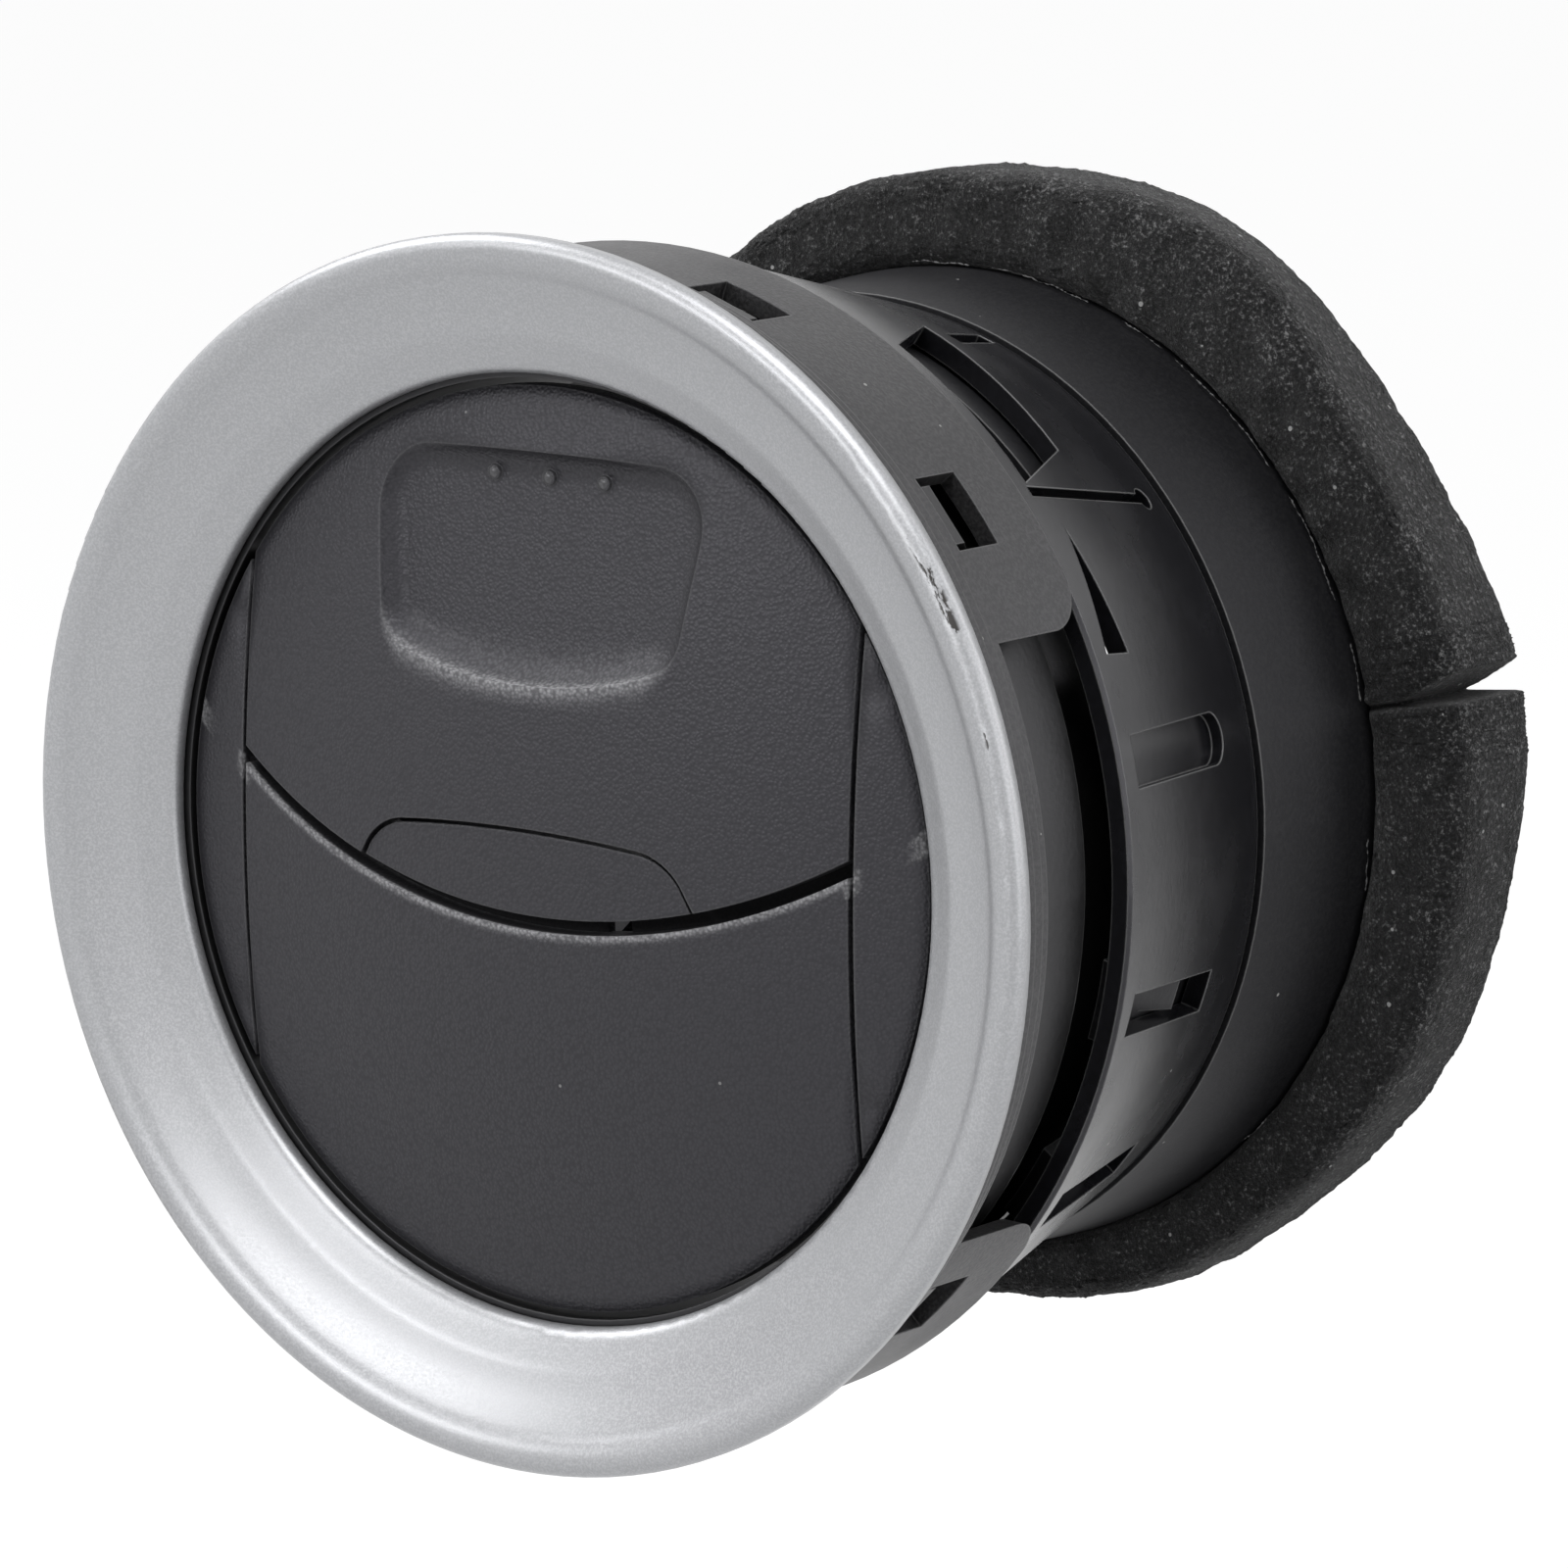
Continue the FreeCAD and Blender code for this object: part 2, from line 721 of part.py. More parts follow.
for side, turn in (("right", clocking), ("left", clocking + 180)):
    housing_tools += [
        radial_prism(side + "_window", window_corners, turn + SIZES["tongue_angle"]),
        radial_prism(side + "_taper_slot", taper_corners, turn + SIZES["taper_angle"]),
        radial_prism(
            side + "_slit",
            straight(d.slit_front, d.relief_along, d.slit_width / 2),
            turn + SIZES["slit_angle"],
        ),
        radial_prism(
            side + "_relief",
            [
                (d.relief_along - d.relief_radius, 0, d.relief_radius + 0.001, 1),
                (d.relief_along + d.relief_radius, 0, d.relief_radius + 0.001, 1),
            ],
            turn + SIZES["slit_angle"],
        ),
        radial_prism(
            side + "_notch",
            straight(d.notch_front, d.notch_back, d.notch_width / 2),
            turn + SIZES["notch_angle"],
            SIZES["notch_skew"],
            notch_middle,
        ),
        common(
            side + "_keyway",
            [
                radial_prism(side + "_keyway_prism", keyway_corners, turn + SIZES["keyway_angle"]),
                keyway_skin,
            ],
        ),
    ]
    for place in ("upper", "lower"):
        angle = turn + SIZES["latch_" + place]
        name = f"{side}_{place}"
        housing_tools.append(
            radial_prism(
                name + "_latch_window",
                straight(d.latch_front, d.latch_back, d.latch_width / 2),
                angle,
                latch_skew,
                latch_middle,
            )
        )
        finger_cutter = radial_prism(
            name + "_finger_prism",
            straight(d.finger_front - 2, d.spigot_collar_front + 1, d.finger_width / 2),
            angle,
            latch_skew,
            latch_middle,
        )
        fingers.append(common(name + "_finger", [finger_layer, finger_cutter]))
        latch_teeth.append(
            tooth(
                name + "_latch_tooth",
                latch_tooth_corners,
                d.latch_tooth_width,
                angle,
                latch_skew,
                latch_middle,
            )
        )
    for place, away in (("upper", 1), ("lower", -1)):
        tongue_prism = radial_prism(
            f"{side}_{place}_tongue_prism",
            straight(d.tongue_front, d.skirt_end + 2, d.tongue_width / 2),
            turn + away * SIZES["tongue_angle"],
        )
        tongues.append(tongue_prism)

tongue_outside = d.skirt_bore - d.loose_gap
tongue_layer = turned(
    "tongue_layer",
    [
        (tongue_outside - d.tongue_wall, d.tongue_front),
        (tongue_outside, d.tongue_front),
        (tongue_outside, d.skirt_end),
        (on_cone(d.skirt_end + 2, 0.5), d.skirt_end + 2),
        (on_cone(d.skirt_end + 2, d.housing_wall), d.skirt_end + 2),
        (tongue_outside - d.tongue_wall, d.skirt_end),
    ],
)
tongue_set = common("tongue_set", [tongue_layer, fuse("tongue_prisms", tongues)])
housing_shell = cut("housing_shell", housing_cone, fuse("housing_tools", housing_tools))
rear_housing = fuse("rear_housing", [housing_shell, tongue_set])

# Duct spigot: the tube that takes the hose, its collar inside the housing and four latch fingers
inside = d.housing_wall + d.spigot_gap
shoulder = d.housing_rear + d.groove_line
spigot_form = turned(
    "spigot_form",
    [
        (on_cone(d.spigot_collar_front, inside + d.spigot_wall), d.spigot_collar_front),
        (on_cone(d.spigot_collar_front, inside), d.spigot_collar_front),
        (on_cone(d.housing_rear, inside), d.housing_rear),
        (d.spigot_land, d.housing_rear),
        (d.spigot_land, shoulder),
        (d.tube_radius, shoulder),
        (d.tube_end_radius, d.tube_flare_end),
        (d.tube_end_radius, d.tube_end),
        (d.tube_end_radius - d.tube_wall, d.tube_end),
        (d.tube_end_radius - d.tube_wall, d.tube_flare_end),
        (d.tube_radius - d.tube_wall, shoulder + d.tube_wall),
        (on_cone(d.housing_rear, inside + d.spigot_wall), d.housing_rear),
    ],
)
duct_spigot = fuse("duct_spigot", [spigot_form, *fingers, *latch_teeth])

# Foam seal: a strip wound round the tube, its ends meeting at a notch
foam_bore = d.tube_end_radius + 0.3
foam_middle = (d.foam_front + d.foam_back) / 2
foam_ring = turned(
    "foam_ring",
    [
        (foam_bore, d.foam_front),
        (d.foam_radius, d.foam_front),
        (d.foam_radius + 1.2, d.foam_front + 1.2),
        (d.foam_radius + 1.2, d.foam_back - 1.2),
        (d.foam_radius, d.foam_back),
        (foam_bore, d.foam_back),
    ],
)
foam_notch = extruded(
    "foam_notch",
    [
        (d.foam_radius + 3, -d.foam_joint_mouth),
        (d.foam_radius + 3, d.foam_joint_mouth),
        (d.foam_radius + 1.2 - d.foam_joint_depth, 0),
    ],
    d.tube_end,
    turned_to(SIZES["foam_joint_angle"]) * Placement(Vector(), Rotation(Vector(1, 0, 0), 90)),
    both_ways=True,
)
bind(foam_notch.Base, "Placement.Base.y", foam_middle)
foam_seal = cut("foam_seal", foam_ring, foam_notch)

# Barrel: the turning drum, with two D-shaped shelves that carry the cheeks
retainer_front = d.sleeve_back + d.running_gap
barrel_form = turned(
    "barrel_form",
    [
        (d.barrel_bore, d.barrel_front),
        (d.barrel_outside, d.barrel_front),
        (d.barrel_outside, d.barrel_flange_front),
        (d.barrel_flange_radius, d.barrel_flange_front),
        (d.barrel_flange_radius, d.barrel_flange_back),
        (d.barrel_outside, d.barrel_flange_back),
        (d.barrel_outside, retainer_front),
        (d.retainer_groove, retainer_front),
        (d.retainer_groove, retainer_front + d.retainer_width),
        (d.barrel_outside, retainer_front + d.retainer_width),
        (d.barrel_outside, d.barrel_back),
        (d.barrel_bore, d.barrel_back),
    ],
)
shelf_disc = rod_along(
    "shelf_disc",
    d.barrel_bore + d.barrel_wall / 2,
    d.cheek_depth,
    d.cheek_depth + d.shelf_wall,
)
shelves = [
    common("right_shelf", [shelf_disc, block("right_of_line", (d.cheek_line, 45), (-9, 40), (-40, 40))]),
    common("left_shelf", [shelf_disc, block("left_of_line", (-45, -d.cheek_line), (-9, 40), (-40, 40))]),
]
barrel = fuse("barrel", [barrel_form, *shelves])
barrel_retainer = turned(
    "barrel_retainer",
    [
        (d.retainer_groove + 0.3, retainer_front + d.seat_gap),
        (d.retainer_radius, retainer_front + d.seat_gap),
        (d.retainer_radius, retainer_front + d.retainer_width - d.seat_gap),
        (d.retainer_groove + 0.3, retainer_front + d.retainer_width - d.seat_gap),
    ],
    Size(360.0, "360") - d.retainer_gap,
)
barrel_retainer.Placement = Placement(Vector(), Rotation(Vector(0, 1, 0), 102))

# Cheeks: the two fixed D-shaped ends of the face, with chord walls that hold the bushes
stub_bore = d.stub_radius + d.stub_gap
bush_outside = stub_bore + d.bush_wall
cheek_disc = rod_along("cheek_disc", d.face_radius, -6, d.cheek_depth)
cheek_hollow_disc = rod_along("cheek_hollow_disc", d.face_radius - d.cheek_rim, -6, d.cheek_depth + 1)
bar_low = d.smile_radius - d.smile_gap / 2 - d.bar_low_gap
smile_height = d.smile_low + d.smile_radius


def tenon_centre(side):
    """Place along the axis and height of a tenon, on the middle of the cross bar's end."""
    middle = bar_low - d.bar_height / 2
    across = d.cheek_line - d.smile_offset * side
    rise = smile_height - root(middle * middle - across * across) + d.tenon_rise
    depth = d.dome_radius * d.dome_radius - d.cheek_line * d.cheek_line - rise * rise
    layer = d.dome_front + d.dome_radius - root(depth)
    return layer + d.bar_set_back + d.bar_depth / 2 + d.tenon_along, rise


def cheek(name, side):
    """One cheek; side is 1 on the right and -1 on the left."""
    near = d.cheek_line * side
    wall = (d.cheek_line + d.cheek_wall) * side
    far = Size(45 * side, repr(45 * side))
    outer_span = (near, far) if side > 0 else (far, near)
    inner_span = (wall, far) if side > 0 else (far, wall)
    form = common(
        name + "_form",
        [
            dome(name + "_face", 0),
            cheek_disc,
            block(name + "_span", outer_span, (-9, 40), (-40, 40)),
        ],
    )
    hollow = common(
        name + "_hollow",
        [
            dome(name + "_inner_face", d.cheek_wall),
            cheek_hollow_disc,
            block(name + "_hollow_span", inner_span, (-9, 40), (-40, 40)),
        ],
    )
    deep = d.cheek_line + d.cheek_wall + 0.1
    reach = (d.cheek_line - 1, deep) if side > 0 else (-deep, -d.cheek_line + 1)
    tools = [hollow]
    for place, height in (("upper", d.pivot_height), ("lower", -d.pivot_height)):
        tools.append(
            rod_across(
                f"{name}_{place}_hole",
                bush_outside + d.seat_gap,
                reach[0],
                reach[1],
                d.pivot_along,
                height,
            )
        )
    mortise_end = d.cheek_line + d.tenon_length + d.seat_gap
    mortise_start = d.cheek_line - 1
    mortise_span = (mortise_start, mortise_end) if side > 0 else (-mortise_end, -mortise_start)
    half_height = d.tenon_height / 2 + d.seat_gap
    half_depth = d.tenon_depth / 2 + d.seat_gap
    along, rise = tenon_centre(side)
    tools.append(
        block(
            name + "_mortise",
            mortise_span,
            (along - half_depth, along + half_depth),
            (rise - half_height, rise + half_height),
        )
    )
    return cut(name, form, fuse(name + "_tools", tools))


right_cheek = cheek("right_cheek", 1)
left_cheek = cheek("left_cheek", -1)


def bush(name, side, height):
    """A plain bush in a cheek's chord wall."""
    start = d.cheek_line * side if side > 0 else -d.cheek_line - d.cheek_wall
    end = start + d.cheek_wall
    sleeve = rod_across(name + "_outside", bush_outside, start, end, d.pivot_along, height)
    bore = rod_across(name + "_bore", stub_bore, start - 1, end + 1, d.pivot_along, height)
    return cut(name, sleeve, bore)


bushes = [
    bush("upper_right_bush", 1, d.pivot_height),
    bush("lower_right_bush", 1, -d.pivot_height),
    bush("upper_left_bush", -1, d.pivot_height),
    bush("lower_left_bush", -1, -d.pivot_height),
]



def smile_rod(name, radius):
    """A cylinder round the centre of the smile line's arc."""
    item = rod_along(name, radius, -6, 30, smile_height)
    bind(item, "Placement.Base.x", d.smile_offset)
    return item


# Face layers shared by the flaps and the tab
face_disc = rod_along("face_disc", d.face_radius, -6, 30)
flap_span = block("flap_span", (-d.flap_half_width, d.flap_half_width), (-9, 30), (-40, 40))
flap_plate = common("flap_plate", [shell("flap_skin", 0, d.flap_wall), face_disc, flap_span])
above_smile = smile_rod("above_smile", d.smile_radius - d.smile_gap / 2)
below_smile = smile_rod("below_smile", d.smile_radius + d.smile_gap / 2)
FACING_FRONT = Rotation(Vector(1, 0, 0), 90)


def tab_prism(name, grow):
    """The tab's outline, grown all round by an amount."""
    grow = as_size(grow)
    top_half = d.tab_top_half_width - 0.86 + grow * 0.12
    low_half = d.tab_bottom_half_width + grow * 1.38
    top = d.tab_top + grow
    placement = Placement(Vector(0, 20, 0), FACING_FRONT)
    shoulder_half = d.tab_top_half_width + 2.7 + grow * 0.85
    shoulder_height = d.tab_top - 2.2 + grow * 0.52
    corner = d.tab_corner + grow
    corners = [
        (low_half, d.tab_low - 5),
        (low_half, d.tab_low),
        (shoulder_half, shoulder_height, corner, 1),
        (top_half, top, d.tab_bow + grow, 1),
        (-top_half, top, corner, 1),
        (-shoulder_half, shoulder_height),
        (-low_half, d.tab_low),
        (-low_half, d.tab_low - 5),
    ]
    return extruded(name, corners, 30, placement)


# Centre tab: a cross bar behind the smile line that carries the tab in the face
bar_band = cut(
    "bar_band",
    smile_rod("bar_under", bar_low),
    smile_rod("bar_over", bar_low - d.bar_height),
)
bar_span = block("bar_span", (-d.cheek_line, d.cheek_line), (-9, 30), (d.smile_low, smile_height))
cross_bar = common(
    "cross_bar",
    [shell("bar_layer", d.bar_set_back, d.bar_set_back + d.bar_depth), bar_band, bar_span],
)
tab_plate = common(
    "tab_plate",
    [
        shell("tab_layer", d.tab_set_back, d.tab_set_back + d.tab_wall),
        above_smile,
        tab_prism("tab_outline", 0),
    ],
)
tab_root = common(
    "tab_root",
    [
        shell("tab_root_layer", d.tab_set_back + d.tab_wall / 2, d.bar_set_back + 0.5),
        bar_band,
        tab_prism("tab_root_outline", -1),
    ],
)


def tenon(name, side):
    """The block at one end of the cross bar that sits in the cheek."""
    start = d.cheek_line - 1
    end = d.cheek_line + d.tenon_length
    span = (start, end) if side > 0 else (-end, -start)
    along, rise = tenon_centre(side)
    depth = d.tenon_depth / 2
    height = d.tenon_height / 2
    return block(name, span, (along - depth, along + depth), (rise - height, rise + height))


tenons = [tenon("right_tenon", 1), tenon("left_tenon", -1)]
centre_tab = fuse("centre_tab", [cross_bar, tab_plate, tab_root, *tenons])

# Flaps: domed plates with ears and stub pins, a stiffening rib, and a lug for the link
lug_end = d.lug_inner + d.lug_wall
link_start = lug_end + 0.1
pin_end = link_start + d.link_wall + 0.3
pin_along = d.pivot_along + d.crank_length * cosine(d.crank_angle)
pin_rise = d.crank_length * sine(d.crank_angle)
rib_skin = shell("rib_skin", d.flap_wall / 2, d.flap_wall + d.rib_height)


def flap_fittings(name, height, lug_corners):
    """Ears, stub pins, rib, lug and link pin of one flap whose pivot lies at a height."""
    half_rib = d.rib_wall / 2
    rib_slab = block(
        name + "_rib_slab",
        (-d.flap_half_width, d.flap_half_width),
        (-9, 30),
        (height - half_rib, height + half_rib),
    )
    fittings = [common(name + "_rib", [rib_skin, rib_slab])]
    for side, sign in (("right", 1), ("left", -1)):
        edge = d.flap_half_width * sign
        inner = edge - d.ear_width * sign
        tip = (d.cheek_line + d.cheek_wall - 0.2) * sign
        ear_span = (inner, edge) if sign > 0 else (edge, inner)
        stub_span = (inner, tip) if sign > 0 else (tip, inner)
        fittings.append(
            rod_across(f"{name}_{side}_ear", d.ear_radius, *ear_span, d.pivot_along, height)
        )
        fittings.append(
            rod_across(f"{name}_{side}_stub", d.stub_radius, *stub_span, d.pivot_along, height)
        )
    pin_height = height + pin_rise
    fittings.append(plate_across(name + "_lug", lug_corners, d.lug_inner, lug_end))
    fittings.append(
        rod_across(name + "_lug_eye", d.lug_radius, d.lug_inner, lug_end, pin_along, pin_height)
    )
    fittings.append(
        rod_across(name + "_pin", d.pin_radius, d.lug_inner, pin_end, pin_along, pin_height)
    )
    return fittings


upper_pin_height = d.pivot_height + pin_rise
upper_lug = [
    (2.6, upper_pin_height - 8),
    (pin_along, upper_pin_height - d.lug_radius),
    (pin_along, upper_pin_height + d.lug_radius),
    (2.6, upper_pin_height + d.lug_radius),
]
lower_pin_height = -d.pivot_height + pin_rise
lower_lug = [
    (0.4, lower_pin_height - 13),
    (pin_along + 1, lower_pin_height - d.lug_radius + 0.3),
    (pin_along - 1.2, lower_pin_height + d.lug_radius - 0.4),
    (-0.4, lower_pin_height - 3.6),
]

lean = math.radians(SIZES["recess_tilt"])


def recess_block(name, grow, set_back):
    """A block on the leaning floor of the thumb recess, with a bowed foot and sides that lean out."""
    grow = as_size(grow)
    bow = d.recess_bow + grow
    foot = bow * sine(d.recess_bow_angle)
    foot_rise = -grow * cosine(d.recess_bow_angle)
    corner = d.recess_corner + grow
    side = foot + corner * (cosine(d.recess_lean) - sine(d.recess_bow_angle))
    side_rise = foot_rise + corner * (cosine(d.recess_bow_angle) - sine(d.recess_lean))
    top_corner = d.recess_top_corner + grow
    high = d.recess_high - d.recess_low + grow
    turn_rise = high - top_corner * (sine(d.recess_lean) + 1)
    top_side = side + (turn_rise - side_rise) * sine(d.recess_lean) / cosine(d.recess_lean)
    top_flat = top_side - top_corner * cosine(d.recess_lean)
    facing = Rotation(Vector(1, 0, 0), 90 - SIZES["recess_tilt"])
    start = Vector(0, SIZES["recess_floor"], SIZES["recess_low"])
    start -= facing.multVec(Vector(0, 0, 1)) * set_back
    corners = [
        (-foot, foot_rise, bow, 1),
        (foot, foot_rise, corner, 1),
        (side, side_rise),
        (top_side, turn_rise, top_corner, 1),
        (top_flat, high),
        (-top_flat, high, top_corner, 1),
        (-top_side, turn_rise),
        (-side, side_rise, corner, 1),
    ]
    return extruded(name, corners, 9, Placement(start, facing))


recess_raw = recess_block("recess_raw", 0, 0)
recess_back = common(
    "recess_back",
    [
        recess_block("recess_back_block", SIZES["recess_backing"], SIZES["recess_backing"]),
        dome("recess_limit", 0.7),
        face_disc,
    ],
)
tab_notch = tab_prism("tab_notch", d.tab_line)
doc.recompute()
floor_edges = []
floor_normal = Rotation(Vector(1, 0, 0), 90 - SIZES["recess_tilt"]).multVec(Vector(0, 0, 1))
floor_point = Vector(0, SIZES["recess_floor"], SIZES["recess_low"])
for number, edge in enumerate(recess_raw.Shape.Edges, start=1):
    if all(abs((vertex.Point - floor_point).dot(floor_normal)) < 0.01 for vertex in edge.Vertexes):
        floor_edges.append((number, SIZES["recess_round"], SIZES["recess_round"]))
recess_tool = doc.addObject("Part::Fillet", "recess_tool")
recess_tool.Base = recess_raw
recess_tool.Edges = floor_edges

pip_along = d.recess_floor + (d.pip_height - d.recess_low) * math.tan(lean)
pips = []
for number in (-1, 0, 1):
    pip = rod_along(
        f"pip_{number + 2}", d.pip_radius, pip_along - d.pip_rise, pip_along + 0.6, d.pip_height
    )
    bind(pip, "Placement.Base.x", d.pip_pitch * number)
    pips.append(pip)

upper_form = fuse(
    "upper_form",
    [
        common("upper_plate", [flap_plate, above_smile]),
        recess_back,
        *flap_fittings("upper", d.pivot_height, upper_lug),
    ],
)
upper_flap = fuse(
    "upper_flap",
    [cut("upper_cut", upper_form, fuse("upper_tools", [recess_tool, tab_notch])), *pips],
)

# A lip on the lower flap closes the view through the gap between the flaps
lip_front = d.flap_wall + d.lip_gap
lip_edge = d.smile_radius - d.smile_gap / 2 - d.lip_height
lip_foot = d.smile_radius + d.smile_gap / 2
lip_far = smile_rod("lip_far", lip_foot + d.lip_root)


def lip_part(name, near, start):
    """One layer of the lip, from a set-back inwards and from a radius of the smile line downwards."""
    band = cut(name + "_band", lip_far, smile_rod(name + "_start", start))
    layer = shell(name + "_layer", near, lip_front + d.lip_wall)
    return common(name, [layer, band, face_disc, flap_span])


lip_notch = block(
    "lip_notch",
    (link_start - d.lip_relief, link_start + d.link_wall + d.lip_relief),
    (-9, 30),
    (-9, 9),
)
lower_flap = fuse(
    "lower_flap",
    [
        cut("lower_plate", flap_plate, below_smile),
        cut("lip", lip_part("lip_strip", lip_front, lip_edge), lip_notch),
        lip_part("lip_root", d.flap_wall / 2, lip_foot),
        *flap_fittings("lower", -d.pivot_height, lower_lug),
    ],
)

# Link: a strip with two eyes that makes the flaps tilt together
link_end = link_start + d.link_wall
link_form = fuse(
    "link_form",
    [
        rod_across("link_upper_eye", d.link_radius, link_start, link_end, pin_along, upper_pin_height),
        rod_across("link_lower_eye", d.link_radius, link_start, link_end, pin_along, lower_pin_height),
        block(
            "link_strip",
            (link_start, link_end),
            (pin_along - d.link_half_width, pin_along + d.link_half_width),
            (lower_pin_height, upper_pin_height),
        ),
    ],
)
link_holes = fuse(
    "link_holes",
    [
        rod_across(
            "link_upper_hole",
            d.pin_radius + d.pin_gap,
            link_start - 1,
            link_end + 1,
            pin_along,
            upper_pin_height,
        ),
        rod_across(
            "link_lower_hole",
            d.pin_radius + d.open_pin_gap,
            link_start - 1,
            link_end + 1,
            pin_along,
            lower_pin_height,
        ),
    ],
)
flap_link = cut("flap_link", link_form, link_holes)

PIECES = [
    trim_ring,
    clip_collar,
    inner_sleeve,
    front_felt,
    rear_felt,
    rear_housing,
    duct_spigot,
    foam_seal,
    barrel,
    barrel_retainer,
    right_cheek,
    left_cheek,
    *bushes,
    centre_tab,
    upper_flap,
    lower_flap,
    flap_link,
]
doc.recompute()
for item in doc.Objects:
    if "Invalid" in item.State or "Error" in item.State:
        raise RuntimeError(f"{item.Name} does not build")
os.makedirs("parts", exist_ok=True)
for piece in PIECES:
    if piece.Shape.isNull() or not piece.Shape.isValid():
        raise RuntimeError(f"{piece.Name} has no valid shape")
    if len(piece.Shape.Solids) != 1:
        raise RuntimeError(f"{piece.Name} has {len(piece.Shape.Solids)} solids")
    piece.Label = piece.Name
    piece.Shape.exportStep(f"parts/{piece.Name}.step")
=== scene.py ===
import math

import bpy
import numpy as np
from mathutils import Matrix


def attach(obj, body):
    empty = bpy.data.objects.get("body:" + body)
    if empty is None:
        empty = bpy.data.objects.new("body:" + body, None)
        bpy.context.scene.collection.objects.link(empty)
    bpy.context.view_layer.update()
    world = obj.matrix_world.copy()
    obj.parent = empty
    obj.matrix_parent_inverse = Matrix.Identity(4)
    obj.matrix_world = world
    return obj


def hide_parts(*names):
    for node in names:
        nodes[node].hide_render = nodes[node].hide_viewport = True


# A round dashboard air vent. Its axis is Y, its face looks along -Y and +Z is up. Lengths are in
# metres, and what is given per metre is a frequency.

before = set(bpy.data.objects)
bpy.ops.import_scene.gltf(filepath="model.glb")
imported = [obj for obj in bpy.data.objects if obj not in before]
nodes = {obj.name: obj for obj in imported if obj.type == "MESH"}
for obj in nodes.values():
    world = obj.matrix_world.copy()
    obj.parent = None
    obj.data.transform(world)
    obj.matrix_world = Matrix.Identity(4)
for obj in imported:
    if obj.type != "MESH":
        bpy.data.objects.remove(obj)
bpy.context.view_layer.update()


# Shader groups shared by the finishes


def new_group(name, inputs, outputs):
    """A shader node group with named sockets; returns it with its input and output nodes."""
    group = bpy.data.node_groups.new(name, "ShaderNodeTree")
    for label, kind, value in inputs:
        socket = group.interface.new_socket(label, in_out="INPUT", socket_type=kind)
        if value is not None:
            socket.default_value = value
    for label, kind in outputs:
        group.interface.new_socket(label, in_out="OUTPUT", socket_type=kind)
    entry = group.nodes.new("NodeGroupInput")
    leave = group.nodes.new("NodeGroupOutput")
    return group, entry, leave


def add_node(tree, kind, **settings):
    """A node with its properties and unlinked input values set by name."""
    node = tree.nodes.new(kind)
    for key, value in settings.items():
        if hasattr(node, key):
            setattr(node, key, value)
        else:
            node.inputs[key.replace("_", " ")].default_value = value
    return node


def math_node(tree, operation, first, second=0.5, clamp=False):
    """One arithmetic step; each operand is a socket or a number."""
    node = tree.nodes.new("ShaderNodeMath")
    node.operation = operation
    node.use_clamp = clamp
    for place, operand in enumerate((first, second)):
        if isinstance(operand, (int, float)):
            node.inputs[place].default_value = operand
        else:
            tree.links.new(operand, node.inputs[place])
    return node.outputs[0]


def ramp(tree, value, low, high):
    """0 at low and 1 at high, straight between and clamped beyond; low may be the larger."""
    node = tree.nodes.new("ShaderNodeMapRange")
    node.inputs["From Min"].default_value = low
    node.inputs["From Max"].default_value = high
    tree.links.new(value, node.inputs["Value"])
    return node.outputs["Result"]


def noise(tree, vector, scale, detail, roughness=0.5):
    """A noise texture's height over a vector; scale is in cells per metre."""
    node = add_node(
        tree, "ShaderNodeTexNoise", Scale=scale, Detail=detail, Roughness=roughness
    )
    tree.links.new(vector, node.inputs["Vector"])
    return node.outputs["Fac"]


def fine_grain_group():
    """Moulding texture: noise gives a height and a mask of its raised spots."""
    group, entry, leave = new_group(
        "fine_grain",
        [
            ("Vector", "NodeSocketVector", None),
            ("Grains per metre", "NodeSocketFloat", 3000.0),
            ("Detail", "NodeSocketFloat", 3.0),
        ],
        [("Height", "NodeSocketFloat"), ("Raised", "NodeSocketFloat")],
    )
    coarse = add_node(group, "ShaderNodeTexNoise", Roughness=0.65)
    group.links.new(entry.outputs["Vector"], coarse.inputs["Vector"])
    group.links.new(entry.outputs["Grains per metre"], coarse.inputs["Scale"])
    group.links.new(entry.outputs["Detail"], coarse.inputs["Detail"])
    group.links.new(coarse.outputs["Fac"], leave.inputs["Height"])
    group.links.new(ramp(group, coarse.outputs["Fac"], 0.42, 0.64), leave.inputs["Raised"])
    return group


# How often the leather's cells are pushed about, and how far
WANDER_SCALE = 900.0
WANDER_REACH = 0.00022


